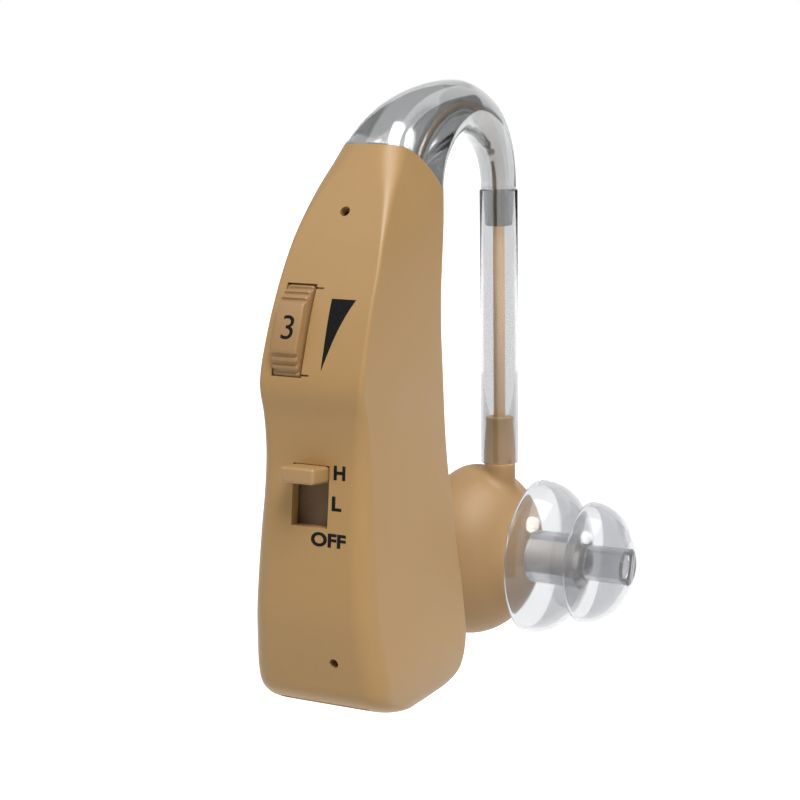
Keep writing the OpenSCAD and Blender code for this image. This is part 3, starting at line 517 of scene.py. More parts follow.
# %% Rings of the hook
HOOK_PULL, BLEND_RINGS, LEG_RINGS, ROOT = 0.88, 24, 40, 1.2
COUNT = 4 * CORNER


def joint_lines():
    """On each line of the case's outline: a place below the joint, the place where the line
    meets the joint, and the way it points there."""
    found = []
    for i in range(COUNT):
        low, high = 0.85 * CASE_H, TOP
        for _ in range(24):
            middle = (low + high) / 2
            above = joint_height(case_ring(middle)[i][1]) > middle
            low, high = (middle, high) if above else (low, middle)
        p = Vector(case_ring(low)[i])
        way = (Vector(case_ring(low + SLOPE_STEP / 4)[i]) - p).normalized()
        found.append((Vector(case_ring(low - ROOT)[i]), p, way))
    return found


def leg_radius(a):
    return LEG_R + (CROWN_A - LEG_R) * (a / CROWN_END) ** 2


def blend(p, q, u, v, s):
    pull = HOOK_PULL * (q - p).length
    return ((1 + 2 * s) * (1 - s) ** 2 * p + s * (1 - s) ** 2 * pull * u
            + s * s * (3 - 2 * s) * q - s * s * (1 - s) * pull * v)


lines = joint_lines()
crown = hook_ring(hook_centre(CROWN_END), CROWN_END, CROWN_A, COUNT)
end = math.radians(CROWN_END)
crown_way = Vector((0, math.sin(end), -math.cos(end)))
rings = [[root for root, p, u in lines]]
for k in range(BLEND_RINGS):
    rings.append([blend(p, q, u, crown_way, k / BLEND_RINGS)
                  for (root, p, u), q in zip(lines, crown)])
for k in range(LEG_RINGS + 1):
    a = CROWN_END * (1 - k / LEG_RINGS)
    rings.append(hook_ring(hook_centre(a), a, leg_radius(a), COUNT))
SPIGOT_R = TUBE_BORE - 0.03
for r, z in ((LEG_R, 0.13), (LEG_R - 0.03, 0.07), (LEG_R - 0.08, 0.05), (SPIGOT_R, 0.05),
             (SPIGOT_R, -1), (0.85 * SPIGOT_R + 0.04, -3.04), (0.85 * SPIGOT_R - 0.04, -3.1)):
    rings.append(hook_ring((TUBE_Y, TUBE_TOP + z), 0, r, COUNT))

# %% Build the hook and its lead
TENON_R, JOINT_GAP = 1.25, 0.02
hook = loft("hook", rings)
combine(hook, under_joint("root_room", -JOINT_GAP))
root_turn = HOOK_WAY.to_track_quat("Z", "Y").to_matrix().to_4x4()
root_place = Matrix.Translation((0, *HOOK_FOOT)) @ root_turn
combine(hook, rod("tenon", TENON_R, -2, 2.5, root_place, 48), "UNION")
combine(hook, core("hook_bore", LEAD_R + 0.12, 3.5, TUBE_TOP - 4.1))
smooth(tidy_mesh(hook), 40)
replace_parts(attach(hook, "case"), "ear_hook")

lead = smooth(core("hook_lead", LEAD_R, 3.1, TUBE_TOP - 3.1), 50)
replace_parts(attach(lead, "case"), "lead_in_hook")

combine(shell, rod("tenon_room", TENON_R + 0.03, -3, 3, root_place, 48))
smooth(tidy_mesh(shell), 30)
print("hook", len(hook.data.polygons), "faces")

# %% [markdown]
# ## Tube and lead
# The tube is cut from a length of clear tubing, with edges that are never quite sharp. It is
# a ring-shaped outline spun about the tube's axis, so it has a real wall and a real bore.

# %% Build the tube and the lead in it
TUBE_C = (0, TUBE_Y, TUBE_TOP - TUBE_L)
r = 0.06
tube = lathe("tube", arc((TUBE_R - r, TUBE_L - r), r, 0, 90, 4)
             + arc((TUBE_BORE + r, TUBE_L - r), r, 90, 180, 4)
             + arc((TUBE_BORE + r, r), r, 180, 270, 4)
             + arc((TUBE_R - r, r), r, 270, 360, 4), TUBE_C, "Z", 96)
smooth(tube, 50)
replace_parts(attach(tube, "ear_piece"), "clear_tube")

STEM_IN, LEAD_EDGE = 4.1, 0.05
low, high = STEM_IN - 1, TUBE_L - 3.15
lead_in_tube = lathe("tube_lead", [
    (0, low), (LEAD_R - LEAD_EDGE, low), (LEAD_R, low + LEAD_EDGE), (LEAD_R, high - LEAD_EDGE),
    (LEAD_R - LEAD_EDGE, high), (0, high)], TUBE_C, "Z", 32)
smooth(lead_in_tube, 50)
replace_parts(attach(lead_in_tube, "ear_piece"), "lead_in_tube")

# %% [markdown]
# ## The receiver
# The bulb is an oval spun about X, with a nozzle in front and a flat cap at the back. The
# stem flares where it meets the bulb, as a moulded part does, so that light runs softly
# from one to the other.

# %% Outline of the bulb
BULB_R, BULB_WALL, BULB_X, BULB_FRONT, BULB_REAR, BULB_FLAT = 7.5, 0.8, -2.7, 6.2, 4.2, 3.6
BULB_C = (0, TUBE_Y, TUBE_TOP - TUBE_L - 1.09 * BULB_R)
COLLAR_R, SPLIT_X = 2.6, -4.7
NOZZLE_R, NOZZLE_BORE, NOZZLE_END = 1.42, 0.85, 8.3
COLLAR_X = BULB_X + BULB_FRONT * math.sqrt(1 - (COLLAR_R / BULB_R) ** 2)


def bulb_profile(inset, edge=0.25):
    """Half outline from the back's middle round to the front's middle."""
    rear, front = BULB_REAR - inset, BULB_FRONT - inset
    start = -math.degrees(math.asin((BULB_FLAT - inset) / rear))
    stop = math.degrees(math.acos(COLLAR_R / BULB_R))
    back = arc((0, BULB_X), 1, start, 0, 24, (BULB_R - inset, rear))
    nose = arc((0, BULB_X), 1, 3, stop, 30, (BULB_R - inset, front))
    return ([(0, BULB_X - BULB_FLAT + inset), (back[0][0] - edge, BULB_X - BULB_FLAT + inset)]
            + back + nose + [(0, nose[-1][1])])


# %% Build the housing
housing = lathe("receiver_bulb", bulb_profile(0), BULB_C, "X", 128)
nozzle = lathe("nozzle", [(0, COLLAR_X - BULB_WALL), (NOZZLE_R, COLLAR_X - BULB_WALL),
                          (NOZZLE_R, NOZZLE_END - 0.1), (NOZZLE_R - 0.1, NOZZLE_END),
                          (0, NOZZLE_END)], BULB_C, "X", 64)
combine(housing, nozzle, "UNION")
STEM_R, FILLET = TUBE_BORE - 0.03, 0.7


def bulb_height(x, y):
    """How high the bulb's skin stands over its centre."""
    reach = (x - BULB_X) / (BULB_FRONT if x > BULB_X else BULB_REAR)
    return math.sqrt(BULB_R ** 2 * (1 - reach * reach) - y * y)


def stem_ring(radius, height=None, lift=0.0):
    ring = []
    for x, y in arc((0, 0), radius, 0, 360, 65)[:-1]:
        z = bulb_height(x, y) + lift if height is None else height
        ring.append(Vector(BULB_C) + Vector((x, y, z)))
    return ring


bulb_top = TUBE_C[2] - BULB_C[2]
rings = [stem_ring(STEM_R + FILLET, 0.6 * BULB_R)]
for k in range(9):
    t = math.radians(90 * k / 8)
    rings.append(stem_ring(STEM_R + FILLET * (1 - math.sin(t)),
                           None, FILLET * (1 - math.cos(t)) - 0.02))
top, bead = bulb_top + STEM_IN, 0.8 * TUBE_BORE + 0.09
rings += [stem_ring(STEM_R, bulb_top + 0.2), stem_ring(STEM_R, bulb_top + 1),
          stem_ring(bead - 0.04, top - 0.4), stem_ring(bead, top - 0.3),
          stem_ring(bead, top - 0.06), stem_ring(bead - 0.06, top)]
stem = loft("stem", rings)
combine(housing, stem, "UNION")
combine(housing, lathe("cavity", bulb_profile(BULB_WALL, 0), BULB_C, "X", 96))
combine(housing, x_rod("nozzle_bore", NOZZLE_BORE, 0, 10, BULB_C[1], BULB_C[2], 48))
combine(housing, rod("stem_bore", LEAD_R + RUN, BULB_R / 2, 20,
                     Matrix.Translation(BULB_C), 48))
combine(housing, box("back_half", (-12, 0, -20), (SPLIT_X, 40, 40)))
smooth(tidy_mesh(housing), 35)
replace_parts(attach(housing, "ear_piece"), "receiver_housing")

cap = lathe("receiver_cap", bulb_profile(0), BULB_C, "X", 128)
combine(cap, lathe("cavity", bulb_profile(BULB_WALL, 0), BULB_C, "X", 96))
combine(cap, box("front_half", (SPLIT_X, 0, -20), (12, 40, 40)))
smooth(tidy_mesh(cap), 35)
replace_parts(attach(cap, "ear_piece"), "receiver_back_cap")
print("bulb", len(housing.data.polygons), "faces")

# %% [markdown]
# ## The ear tip
# The tip is one piece of clear silicone: a sleeve with two domes that open backwards. Its
# outline goes up the sleeve, out under each dome, round the dome's soft rim and back over
# it, and is spun once round the sleeve.

# %% Build the tip
FLANGE_R, FLANGE_X, FLANGE_L = 6.7, 3.4, 5.1
TIP_R, TIP_X, TIP_L, LIP_R = 5.25, 8.2, 4.2, 2.0
SLEEVE_R, SPOUT_R, OUTLET_R, OUTLET_X, ANNULUS_X = 2.25, 1.5, 1.1, 11.65, 8.25
FLANGE_T, RIM_IN = 0.45, 0.2


def dome(r, x, length, crown, points=22):
    start = math.degrees(math.asin(crown / r))
    return [(b, a) for a, b in arc((x, 0), 1, start, 90, points, (length, r))]


def rim(r, x):
    """The rounded edge between the inside and the outside of a dome."""
    return arc((r - FLANGE_T / 2, x), FLANGE_T / 2, 180, 360, 8)[1:-1]


bore = NOZZLE_R + RUN
sleeve_x0 = COLLAR_X + 0.2
large_x, large_l = FLANGE_X + RIM_IN, FLANGE_L - RIM_IN
small_x, small_l = TIP_X + RIM_IN, TIP_L - RIM_IN
profile = ([(bore, sleeve_x0), (SLEEVE_R - 0.1, sleeve_x0), (SLEEVE_R, sleeve_x0 + 0.1)]
           + dome(FLANGE_R - FLANGE_T, large_x, large_l - 1.3 * FLANGE_T, SLEEVE_R)
           + rim(FLANGE_R, large_x) + dome(FLANGE_R, large_x, large_l, SLEEVE_R)[::-1]
           + [(SLEEVE_R - 0.05, ANNULUS_X), (SPOUT_R, ANNULUS_X)]
           + dome(TIP_R - FLANGE_T, small_x, small_l - 1.6 * FLANGE_T, SPOUT_R)
           + rim(TIP_R, small_x) + dome(TIP_R, small_x, small_l, LIP_R)[::-1]
           + [(SPOUT_R + 0.1, OUTLET_X + 0.5), (OUTLET_R + 0.05, OUTLET_X + 0.05),
              (OUTLET_R, OUTLET_X), (OUTLET_R, NOZZLE_END + 0.3), (bore, NOZZLE_END + 0.3)])
tip = smooth(lathe("tip", profile, BULB_C, "X", 128), 40)
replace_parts(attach(tip, "soft_tip"), "ear_tip")
print("tip", len(tip.data.polygons), "faces")

# %% [markdown]
# ## The volume dial
# The dial is a disc with five flats, each with its number, and four shallow grooves on each
# curved stretch between them for the fingertip. The disc is cut by planes for the flats and
# by thin rods for the grooves, and every edge is then softened.

# %% Build the dial
DIAL = Matrix.Translation(WHEEL_C) @ Matrix.Rotation(-WHEEL_TURN, 4, "X")
FLAT_HALF, GROOVE_R, GROOVE_TURN, SHAFT_R = 1.65, 0.2, 7.2, 0.61
FLATS, FLAT_TURN = 5, 72
FLAT_R = math.sqrt(WHEEL_R ** 2 - FLAT_HALF ** 2)
dial = rod("dial", WHEEL_R, WHEEL_X - WHEEL_W / 2, WHEEL_X + WHEEL_W / 2, DIAL @ ALONG_X, 180)


def turned(k):
    return DIAL @ Matrix.Rotation(math.radians(FLAT_TURN * k), 4, "X")


for k in range(FLATS):
    combine(dial, box("flat", (-8, -9, -FLAT_HALF), (8, -FLAT_R, FLAT_HALF), turned(k)))
round_edges(tidy_mesh(dial), 0.24, 4, 60)
for k in range(FLATS):
    for j in (-1.5, -0.5, 0.5, 1.5):
        angle = math.radians(FLAT_TURN / 2 + GROOVE_TURN * j)
        place = turned(k) @ Matrix.Rotation(angle, 4, "X")
        place = place @ Matrix.Translation((0, -WHEEL_R, 0)) @ ALONG_X
        combine(dial, rod("groove", GROOVE_R, -8, 8, place, 20))
combine(dial, rod("shaft_room", SHAFT_R, -8, 8, DIAL @ ALONG_X, 48))
smooth(round_edges(tidy_mesh(dial), 0.05, 2, 25), 40)
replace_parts(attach(dial, "volume_dial"), "volume_wheel")

# %% [markdown]
# ## The switch knob
# A small bar with soft edges, which stands out of the slot. Two thin wings behind the face
# keep it in.

# %% Build the knob
KNOB_W, KNOB_H, KNOB_OUT, WING = SLOT_W - 0.2, 1.2, 2.2, 0.4
WING_IN, WING_END = WALL + RUN, WALL + RUN + 0.17
REST_Z = SLOT_L / 2 - KNOB_H / 2 - RUN
knob = box("knob", (SLOT_X - KNOB_W / 2, -KNOB_OUT, REST_Z - KNOB_H / 2),
           (SLOT_X + KNOB_W / 2, WING_END, REST_Z + KNOB_H / 2), slot_place)
round_edges(knob, 0.24, 5)
combine(knob, box("wings", (SLOT_X - KNOB_W / 2 - WING, WING_IN, REST_Z - KNOB_H / 2),
                  (SLOT_X + KNOB_W / 2 + WING, WING_END, REST_Z + KNOB_H / 2),
                  slot_place), "UNION")
smooth(tidy_mesh(knob), 40)
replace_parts(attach(knob, "switch_slider"), "switch_knob")

# %% [markdown]
# ## Battery door, cover and screws
# The door's skin carries on the form of the case, so it is cut from the same form with the
# same form moved inwards. Its cradle is a ring that the cell drops into.

# %% Build the door
CRADLE_R, CELL_ROOM = CELL_R + 0.51, 0.06
door = case_form("door", 0, DOOR_H)
combine(door, case_form("door_hollow", DOOR_T, DOOR_H + 1, -1, -1, 0, (-DOOR_T, DOOR_T)))
door_room = box("door_room", (SEAM - BAY, PIN_Y, -1), (BAY - SEAM, 10, DOOR_H))
combine(door, door_room, "INTERSECT")
combine(door, x_rod("cradle", CRADLE_R, WALL - CELL_T / 2, CELL_T / 2 - WALL,
                    CELL_Y, CELL_Z, 96), "UNION")
combine(door, x_rod("barrel", BARREL_R, SEAM - BAY, BAY - SEAM, PIN_Y, PIN_Z, 48), "UNION")
combine(door, case_form("door_limit", 0, DOOR_H), "INTERSECT")
combine(door, x_rod("cell_room", CELL_R + CELL_ROOM, -BAY, BAY, CELL_Y, CELL_Z, 96))
combine(door, x_rod("pin_room", PIN_R + RUN, -BAY, BAY, PIN_Y, PIN_Z, 48))
combine(door, box("cell_way", (-CELL_T / 2, -15, CELL_Z + 0.6 * CELL_R),
                  (CELL_T / 2, ear_side_y(CELL_Z) - DOOR_T - 0.2, DOOR_H + 1)))
smooth(tidy_mesh(door), 30)
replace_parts(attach(door, "battery_drawer"), "battery_door")

# %% Build the cover and its screws
HEAD_R, HEAD_T, SHANK_R, SHANK_END, DRIVE_HALF = 0.9, 0.45, 0.5, -2.46, 0.11
cover = ear_side_slab("cover", COVER_Z0, COVER_Z1, WALL + SEAM, WALL, 0)
for z in BAR_Z:
    place = on_side(ear_side_y, z) @ ALONG_Y
    combine(cover, rod("screw_room", SHANK_R + RUN, -4, 1, place, 32))
    combine(cover, rod("head_room", HEAD_R + RUN, -HEAD_T, 1, place, 48))
smooth(tidy_mesh(cover), 30)
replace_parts(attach(cover, "case"), "inner_cover")

screws = []
for z in BAR_Z:
    place = on_side(ear_side_y, z)
    screw = rod("screw", HEAD_R, -HEAD_T, 0, place @ ALONG_Y, 48)
    round_edges(screw, 0.1, 3)
    combine(screw, box("screw_slot", (-1, -2 * DRIVE_HALF, -DRIVE_HALF), (1, 1, DRIVE_HALF), place))
    shank = rod("shank", SHANK_R, SHANK_END, 0.01 - HEAD_T, place @ ALONG_Y, 32)
    combine(screw, shank, "UNION")
    screws.append(screw)
pick(*screws)
bpy.ops.object.join()
screws = smooth(tidy_mesh(screws[0]), 35)
screws.name = "cover_screw_pair"
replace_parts(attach(screws, "case"), "cover_screws")

# %% [markdown]
# ## Printing
# The marks are a thin layer of black ink. Letters are text, turned into a mesh, and laid on
# the curve of the control face point by point. The wedge is a narrow loft on the same curve.

# %% Ink on the control face
INK, BOLD = 0.02, 0.035
WEDGE_LOW, WEDGE_HIGH, WEDGE_X, WEDGE_W, WEDGE_ROWS = 26.88, 31.81, 0.84, 1.97, 24


def word(name, text, size, centre, thick=INK, bold=0.0, stretch=1.0):
    """Text in the plane y = 0, facing -Y, centred on (x, z), in millimetres."""
    bpy.ops.object.select_all(action="DESELECT")
    bpy.ops.object.text_add()
    piece = bpy.context.object
    piece.name = name
    piece.data.body = text
    piece.data.size, piece.data.extrude, piece.data.offset = 1, 0, bold
    bpy.ops.object.convert(target="MESH")
    piece = bpy.context.object
    xs, zs = [v.co.x for v in piece.data.vertices], [v.co.y for v in piece.data.vertices]
    scale = size / (max(zs) - min(zs))
    middle = ((max(xs) + min(xs)) / 2, (max(zs) + min(zs)) / 2)
    for v in piece.data.vertices:
        v.co = ((v.co.x - middle[0]) * scale * stretch + centre[0], 0,
                (v.co.y - middle[1]) * scale + centre[1])
    edit(piece)
    bpy.ops.mesh.remove_doubles(threshold=1e-4)
    bpy.ops.mesh.select_all(action="SELECT")
    bpy.ops.mesh.extrude_region_move(TRANSFORM_OT_translate={"value": (0, -thick, 0)})
    bpy.ops.mesh.select_all(action="SELECT")
    bpy.ops.mesh.normals_make_consistent(inside=False)
    leave()
    return piece


def lay(piece, spot):
    """Moves every point of a piece, given in millimetres, to where spot() puts it."""
    for v in piece.data.vertices:
        v.co = at(*spot(v.co))
    return piece


marks = [word("mark_H", "H", 1.04, (2.33, 19.45), bold=BOLD, stretch=1.06),
         word("mark_L", "L", 1.05, (2.18, 17.2), bold=BOLD, stretch=1.2),
         word("mark_OFF", "OFF", 1.04, (1.62, 14.51), bold=BOLD, stretch=1.22)]
for mark in marks:
    lay(mark, lambda p: (p.x, face_y(p.z) + p.y, p.z))

wedge_rings = []
for k in range(WEDGE_ROWS + 1):
    s = k / WEDGE_ROWS
    z = WEDGE_LOW + s * (WEDGE_HIGH - WEDGE_LOW)
    left = WEDGE_X - 0.1 * s
    right = left + 0.03 + WEDGE_W * (0.72 * s + 0.28 * s ** 3)
    front, back = face_y(z) - INK, face_y(z) + INK
    wedge_rings.append([(left, front, z), (right, front, z), (right, back, z), (left, back, z)])
marks.append(loft("mark_wedge", wedge_rings))
pick(*marks)
bpy.ops.object.join()
face_print = marks[0]
face_print.name = "face_print"
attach(face_print, "case")
print("face print", len(face_print.data.polygons), "faces")

# %% Numbers on the dial
numbers = []
for k in range(-2, 3):
    number = word("number", str(3 + k), 1.79, (WHEEL_X + 0.1, 0), stretch=1.04)
    lay(number, lambda p: turned(k) @ Vector((p.x, p.y - FLAT_R + INK / 2, p.z)))
    numbers.append(number)
pick(*numbers)
bpy.ops.object.join()
dial_print = numbers[0]
dial_print.name = "dial_print"
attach(dial_print, "volume_dial")

# %% [markdown]
# ## Materials
# Two effects are shared. The moulded skin gives plastic its faint mottle, fine grain and a
# little dust on faces that look up. Brushing gives metal its fine scratches.

# %% Node helpers
def new_group(name, inputs, outputs):
    group = bpy.data.node_groups.new(name, "ShaderNodeTree")
    for label, kind, value in inputs:
        socket = group.interface.new_socket(label, in_out="INPUT", socket_type=kind)
        socket.default_value = value
    for label, kind in outputs:
        group.interface.new_socket(label, in_out="OUTPUT", socket_type=kind)
    return group, group.nodes.new("NodeGroupInput"), group.nodes.new("NodeGroupOutput")


def node(tree, kind, links=(), **settings):
    made = tree.nodes.new(kind)
    for key, value in settings.items():
        setattr(made, key, value)
    for socket, source in dict(links).items():
        if isinstance(source, bpy.types.NodeSocket):
            tree.links.new(source, made.inputs[socket])
        else:
            made.inputs[socket].default_value = source
    return made


def maths(tree, operation, a, b=0.0, c=0.0):
    return node(tree, "ShaderNodeMath", {0: a, 1: b, 2: c}, operation=operation).outputs[0]


def noise(tree, scale, detail=4.0, roughness=0.5, stretch=(1, 1, 1)):
    where = node(tree, "ShaderNodeTexCoord").outputs["Object"]
    mapped = node(tree, "ShaderNodeMapping", {"Vector": where, "Scale": stretch}).outputs[0]
    return node(tree, "ShaderNodeTexNoise", {"Vector": mapped, "Scale": scale,
                "Detail": detail, "Roughness": roughness}).outputs["Fac"]


# %% The moulded skin
FLOAT, COLOUR = "NodeSocketFloat", "NodeSocketColor"
moulded, given, out = new_group(
    "moulded_skin",
    [("Colour", COLOUR, (0.5, 0.4, 0.3, 1)), ("Mottle", FLOAT, 0.05), ("Roughness", FLOAT, 0.4),
     ("Grain", FLOAT, 1.0), ("Dust", FLOAT, 0.1)],
    [("Colour", COLOUR), ("Roughness", FLOAT), ("Height", FLOAT)])
cloud = noise(moulded, 260, 3)
speck = noise(moulded, 2600, 5, 0.6)
grain = noise(moulded, 7000, 2, 0.5)
shade = maths(moulded, "ADD", maths(moulded, "MULTIPLY", maths(moulded, "SUBTRACT", cloud, 0.5),
              given.outputs["Mottle"]), 1.0)
fleck = maths(moulded, "MULTIPLY_ADD", maths(moulded, "SUBTRACT", speck, 0.5),
              maths(moulded, "MULTIPLY", given.outputs["Mottle"], 1.2), shade)
tinted = node(moulded, "ShaderNodeVectorMath", {0: given.outputs["Colour"]}, operation="SCALE")
moulded.links.new(fleck, tinted.inputs["Scale"])
up = node(moulded, "ShaderNodeSeparateXYZ",
          {0: node(moulded, "ShaderNodeNewGeometry").outputs["Normal"]}).outputs["Z"]
lying = maths(moulded, "MULTIPLY", maths(moulded, "MAXIMUM", up, 0.0),
              maths(moulded, "GREATER_THAN", noise(moulded, 9000, 2), 0.66))
dust = maths(moulded, "MULTIPLY", lying, given.outputs["Dust"])
dusted = node(moulded, "ShaderNodeMix", {0: dust, 7: (0.72, 0.70, 0.66, 1)}, data_type="RGBA")
moulded.links.new(tinted.outputs[0], dusted.inputs[6])
moulded.links.new(dusted.outputs[2], out.inputs["Colour"])
rough = maths(moulded, "MULTIPLY_ADD", maths(moulded, "SUBTRACT", cloud, 0.5), 0.16,
              given.outputs["Roughness"])
moulded.links.new(maths(moulded, "MULTIPLY_ADD", dust, 0.3, rough), out.inputs["Roughness"])
moulded.links.new(maths(moulded, "MULTIPLY", maths(moulded, "MULTIPLY_ADD", speck, 0.5, grain),
                        given.outputs["Grain"]), out.inputs["Height"])

# %% Brushing
brushed, given, out = new_group(
    "brushing", [("Colour", COLOUR, (0.6, 0.6, 0.6, 1)), ("Roughness", FLOAT, 0.25)],
    [("Colour", COLOUR), ("Roughness", FLOAT), ("Height", FLOAT)])
streak = noise(brushed, 3000, 4, 0.6, (0.08, 1, 1))
tone = maths(brushed, "MULTIPLY_ADD", streak, 0.25, 0.87)
toned = node(brushed, "ShaderNodeVectorMath", {0: given.outputs["Colour"]}, operation="SCALE")
brushed.links.new(tone, toned.inputs["Scale"])
brushed.links.new(toned.outputs[0], out.inputs["Colour"])
brushed.links.new(maths(brushed, "MULTIPLY_ADD", streak, 0.2, given.outputs["Roughness"]),
                  out.inputs["Roughness"])
brushed.links.new(streak, out.inputs["Height"])


# %% One maker for every finish
def colour(r, g, b):
    """A colour as read off a screen, 0 to 255, in Blender's linear values."""
    return tuple(((c / 255 + 0.055) / 1.055) ** 2.4 if c > 10 else c / 255 / 12.92
                 for c in (r, g, b)) + (1.0,)


def finish(name, group, values, bump=0.1, reach=2e-5, **sockets):
    material = bpy.data.materials.new(name)
    material.use_nodes = True
    tree = material.node_tree
    shader = tree.nodes["Principled BSDF"]
    effect = tree.nodes.new("ShaderNodeGroup")
    effect.node_tree = group
    for key, value in values.items():
        effect.inputs[key].default_value = value
    tree.links.new(effect.outputs["Colour"], shader.inputs["Base Color"])
    tree.links.new(effect.outputs["Roughness"], shader.inputs["Roughness"])
    relief = node(tree, "ShaderNodeBump", {"Strength": bump, "Distance": reach})
    tree.links.new(effect.outputs["Height"], relief.inputs["Height"])
    tree.links.new(relief.outputs[0], shader.inputs["Normal"])
    for key, value in sockets.items():
        shader.inputs[key.replace("_", " ")].default_value = value
    return material


def plastic(name, rgb, roughness=0.4, mottle=0.04, grain=1.0, dust=0.05, bump=0.12, **sockets):
    return finish(name, moulded, {"Colour": colour(*rgb), "Mottle": mottle, "Grain": grain,
                  "Roughness": roughness, "Dust": dust}, bump, **sockets)


def metal(name, rgb, roughness=0.2):
    return finish(name, brushed, {"Colour": colour(*rgb), "Roughness": roughness}, 0.05,
                  Metallic=1.0)


# %% [markdown]
# Light from a lamp doesn't bend its way through clear plastic in a render, so the things
# inside would be dark. The alpha of the clear finishes is lower for shadow rays alone, which
# lets most of the lamp's light pass and changes nothing that the camera sees.

# %% Clear finishes
LIGHT_PASSED = 0.85


def clear(name, rgb, roughness, ior, see_through=1.0, **sockets):
    material = plastic(name, rgb, roughness, 0.02, 0.4, 0.0, 0.03,
                       Transmission_Weight=see_through, IOR=ior, **sockets)
    tree = material.node_tree
    shadow = node(tree, "ShaderNodeLightPath").outputs["Is Shadow Ray"]
    tree.links.new(maths(tree, "MULTIPLY_ADD", shadow, -LIGHT_PASSED, 1.0),
                   tree.nodes["Principled BSDF"].inputs["Alpha"])
    return material


# %% All finishes
case_plastic = plastic("tan_case_plastic", (174, 137, 86), 0.42, Specular_IOR_Level=0.4)
dial_plastic = plastic("tan_dial_plastic", (164, 128, 84), 0.42, Specular_IOR_Level=0.4)
knob_plastic = plastic("tan_knob_plastic", (172, 137, 90), 0.4, Specular_IOR_Level=0.45)
bulb_plastic = plastic("tan_bulb_plastic", (168, 134, 92), 0.5, Specular_IOR_Level=0.3)
lead_sheath = plastic("lead_sheath", (216, 182, 142), 0.45)
switch_floor = plastic("switch_floor", (124, 102, 78), 0.6, 0.12, Specular_IOR_Level=0.2)
ink = plastic("black_ink", (8, 8, 10), 0.6, 0.1, Specular_IOR_Level=0.12)
hook_plastic = clear("clear_hook_plastic", (188, 189, 190), 0.09, 1.45, Metallic=0.4)
tube_plastic = clear("clear_tube_plastic", (211, 212, 213), 0.05, 1.42)
silicone = clear("clear_silicone", (206, 207, 209), 0.07, 1.41, 0.94)
steel = metal("bright_steel", (200, 202, 205))
gold = metal("gold_plate", (214, 184, 120))
copper = metal("copper_winding", (190, 118, 74), 0.3)
solder_green = plastic("green_board", (34, 96, 60), 0.35, 0.15)
dark_resin = plastic("dark_resin", (38, 38, 42), 0.5, 0.15)
sealing_blue = plastic("cell_seal", (52, 72, 116), 0.45, 0.1)
soft_black = plastic("black_rubber", (40, 40, 42), 0.7, 0.2)
cream = plastic("cream_film", (226, 222, 210), 0.5, 0.1)
fired_tan = plastic("capacitor_body", (184, 152, 112), 0.4, 0.15)
red_enamel = plastic("red_enamel", (188, 44, 36), 0.3, 0.1)
track_blue = plastic("blue_track", (40, 58, 100), 0.5, 0.12)


# %% [markdown]
# The nozzle is part of the tan bulb, but inside the tip it is painted near white: painted light
# that makes it look brightly lit through the silicone. Its end is dark, where the wax filter sits.
# One material does both: a colour is mixed in past a place along X.

# %% Painted light on the nozzle, and its dark end
def tint_past(material, start, rgb):
    """Mixes in a colour where the object's own X passes start, in millimetres."""
    tree = material.node_tree
    base = tree.nodes["Principled BSDF"].inputs["Base Color"]
    place = node(tree, "ShaderNodeSeparateXYZ",
                 {0: node(tree, "ShaderNodeTexCoord").outputs["Object"]})
    past = maths(tree, "GREATER_THAN", place.outputs["X"], start * MM)
    mixed = node(tree, "ShaderNodeMix", {0: past, 6: base.links[0].from_socket,
                 7: colour(*rgb)}, data_type="RGBA")
    tree.links.new(mixed.outputs[2], base)


FILTER_L = 0.6
# painted light: the tan nozzle is painted near white, as if brightly lit through the tip
tint_past(bulb_plastic, COLLAR_X + 0.02, (250, 242, 230))
tint_past(bulb_plastic, NOZZLE_END - FILTER_L, (70, 70, 72))

# %% Give every piece its finish
FINISHES = {
    case_plastic: ["case_shell", "door", "cover"], dial_plastic: ["dial"],
    knob_plastic: ["knob"], bulb_plastic: ["receiver_bulb", "receiver_cap"],
    lead_sheath: ["hook_lead", "tube_lead"], switch_floor: ["switch_housing"],
    ink: ["face_print", "dial_print"], hook_plastic: ["hook"], tube_plastic: ["tube"],
    silicone: ["tip"],
    steel: ["cover_screw_pair", "door_hinge_pin", "battery_can", "battery_cap",
            "microphone_capsule", "volume_shaft", "volume_pins",
            "switch_pins", "receiver_yoke", "receiver_magnet"],
    gold: ["contact_positive", "contact_negative", "volume_wiper", "switch_slider_contact",
           "switch_pads"],
    copper: ["receiver_coil"], solder_green: ["circuit_board"],
    dark_resin: ["amplifier_chip", "resistors", "battery_wire", "receiver_frame"],
    sealing_blue: ["battery_seal"],
    soft_black: ["microphone_boot", "microphone_mesh", "wax_filter"],
    cream: ["receiver_diaphragm"], fired_tan: ["capacitors"],
    red_enamel: ["microphone_wires", "lead_wires"], track_blue: ["volume_track_body"],
}
for material, names in FINISHES.items():
    for name in names:
        piece = bpy.data.objects[name]
        piece.data.materials.clear()
        piece.data.materials.append(material)
bare = [o.name for o in bpy.data.objects if o.type == "MESH" and not o.hide_render
        and (not o.data.materials or o.data.materials[0].name.startswith("Material"))]
print("pieces without a finish:", bare)

# %% [markdown]
# ## Studio
# A white table and a white room, lit by one large soft lamp from above and in front. The
# white comes from the paper's own colour and, for the camera and for what gloss and glass
# show, from a plain glow, so that no lamp has to be turned up for it.

# %% Paper and world
def shown(tree):
    """1 for what the camera sees, and for what gloss and glass show, and 0 for other light."""
    paths = node(tree, "ShaderNodeLightPath")
    return maths(tree, "MAXIMUM", paths.outputs["Is Camera Ray"],
                 maths(tree, "MAXIMUM", paths.outputs["Is Glossy Ray"],
                       paths.outputs["Is Transmission Ray"]))


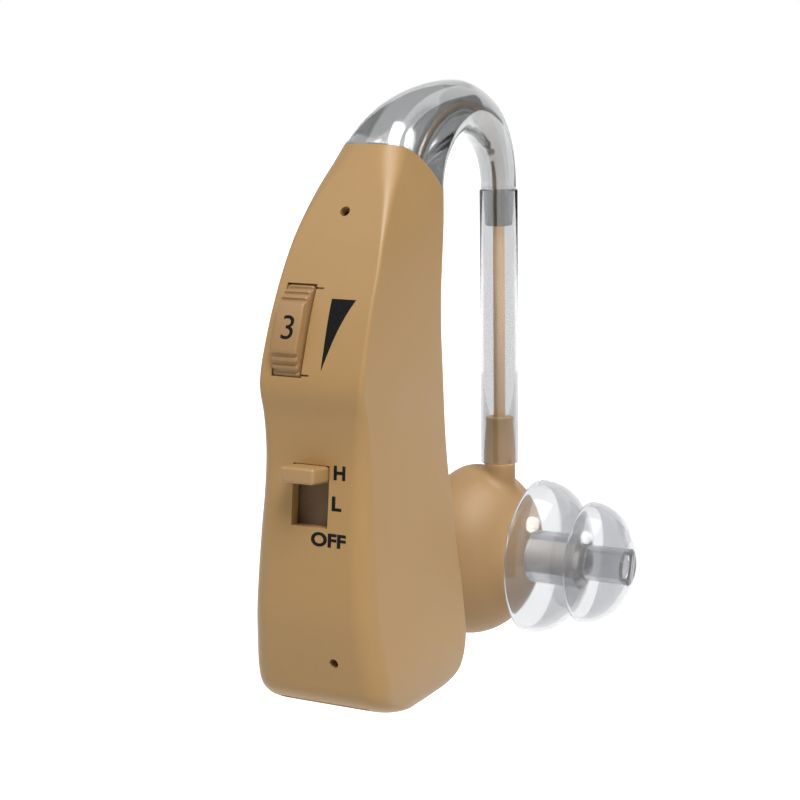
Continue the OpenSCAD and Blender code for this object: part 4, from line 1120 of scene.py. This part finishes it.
FLOOR_DROP, FLOOR_GREY, FLOOR_GLOW, AMBIENT = 0.06, 0.7, 0.7, 0.27
bpy.ops.object.select_all(action="DESELECT")
bpy.ops.mesh.primitive_plane_add(size=4, location=(0, 0, cad_box[0][2] - FLOOR_DROP))
floor = bpy.context.object
floor.name = "floor"
paper = bpy.data.materials.new("white_paper")
paper.use_nodes = True
shader = paper.node_tree.nodes["Principled BSDF"]
shader.inputs["Base Color"].default_value = (FLOOR_GREY, FLOOR_GREY, FLOOR_GREY, 1)
shader.inputs["Roughness"].default_value = 0.9
shader.inputs["Emission Color"].default_value = (1, 1, 1, 1)
glow = maths(paper.node_tree, "MULTIPLY", shown(paper.node_tree), FLOOR_GLOW)
paper.node_tree.links.new(glow, shader.inputs["Emission Strength"])
floor.data.materials.append(paper)

world = bpy.data.worlds.new("studio")
bpy.context.scene.world = world
world.use_nodes = True
tree = world.node_tree
backdrop = tree.nodes["Background"]
backdrop.inputs["Color"].default_value = (1, 1, 1, 1)
strength = maths(tree, "MULTIPLY_ADD", shown(tree), 1 - AMBIENT, AMBIENT)
tree.links.new(strength, backdrop.inputs["Strength"])
bpy.context.scene.view_settings.view_transform = "Standard"


# %% The key lamp
KEY_WAY, KEY_SHARE, KEY_SOFTNESS = Vector((0.4, -0.33, 0.85)), 0.88, 28
data = bpy.data.lights.new("key", "SUN")
data.energy, data.angle = math.pi * KEY_SHARE, math.radians(KEY_SOFTNESS)
key = bpy.data.objects.new("key", data)
bpy.context.collection.objects.link(key)
key.rotation_euler = KEY_WAY.to_track_quat("Z", "Y").to_euler()


# %% [markdown]
# Clear plastic and chrome look like what stands round them. A studio sets grey and black
# cards and soft boxes beside them, and here only gloss shows these.

# %% Cards and soft boxes
def card(name, way, far, size, grey):
    """A square card, seen the given way from the middle of the object."""
    bpy.ops.object.select_all(action="DESELECT")
    bpy.ops.mesh.primitive_plane_add(size=size)
    piece = bpy.context.object
    piece.name = name
    way = Vector(way).normalized()
    piece.location = Vector((0, 0, -0.02)) + way * far
    piece.rotation_euler = way.to_track_quat("Z", "Y").to_euler()
    material = bpy.data.materials.new(name)
    material.use_nodes = True
    shader = material.node_tree.nodes["Principled BSDF"]
    shader.inputs["Base Color"].default_value = (0, 0, 0, 1)
    shader.inputs["Emission Color"].default_value = (1, 1, 1, 1)
    shader.inputs["Emission Strength"].default_value = grey
    piece.data.materials.append(material)
    piece.visible_camera = piece.visible_diffuse = piece.visible_shadow = False
    piece.visible_transmission = False
    return piece


card("grey_ceiling", (-0.3, 0.45, 0.85), 0.9, 0.9, 0.25)
card("dark_side", (0.465, 0.874, 0.14), 0.8, 0.36, 0.02)
card("top_soft_box", (0.35, 0.13, 0.93), 0.8, 0.5, 5.0)
card("left_soft_box", (-0.46, -0.47, 0.75), 0.8, 0.4, 2.5)
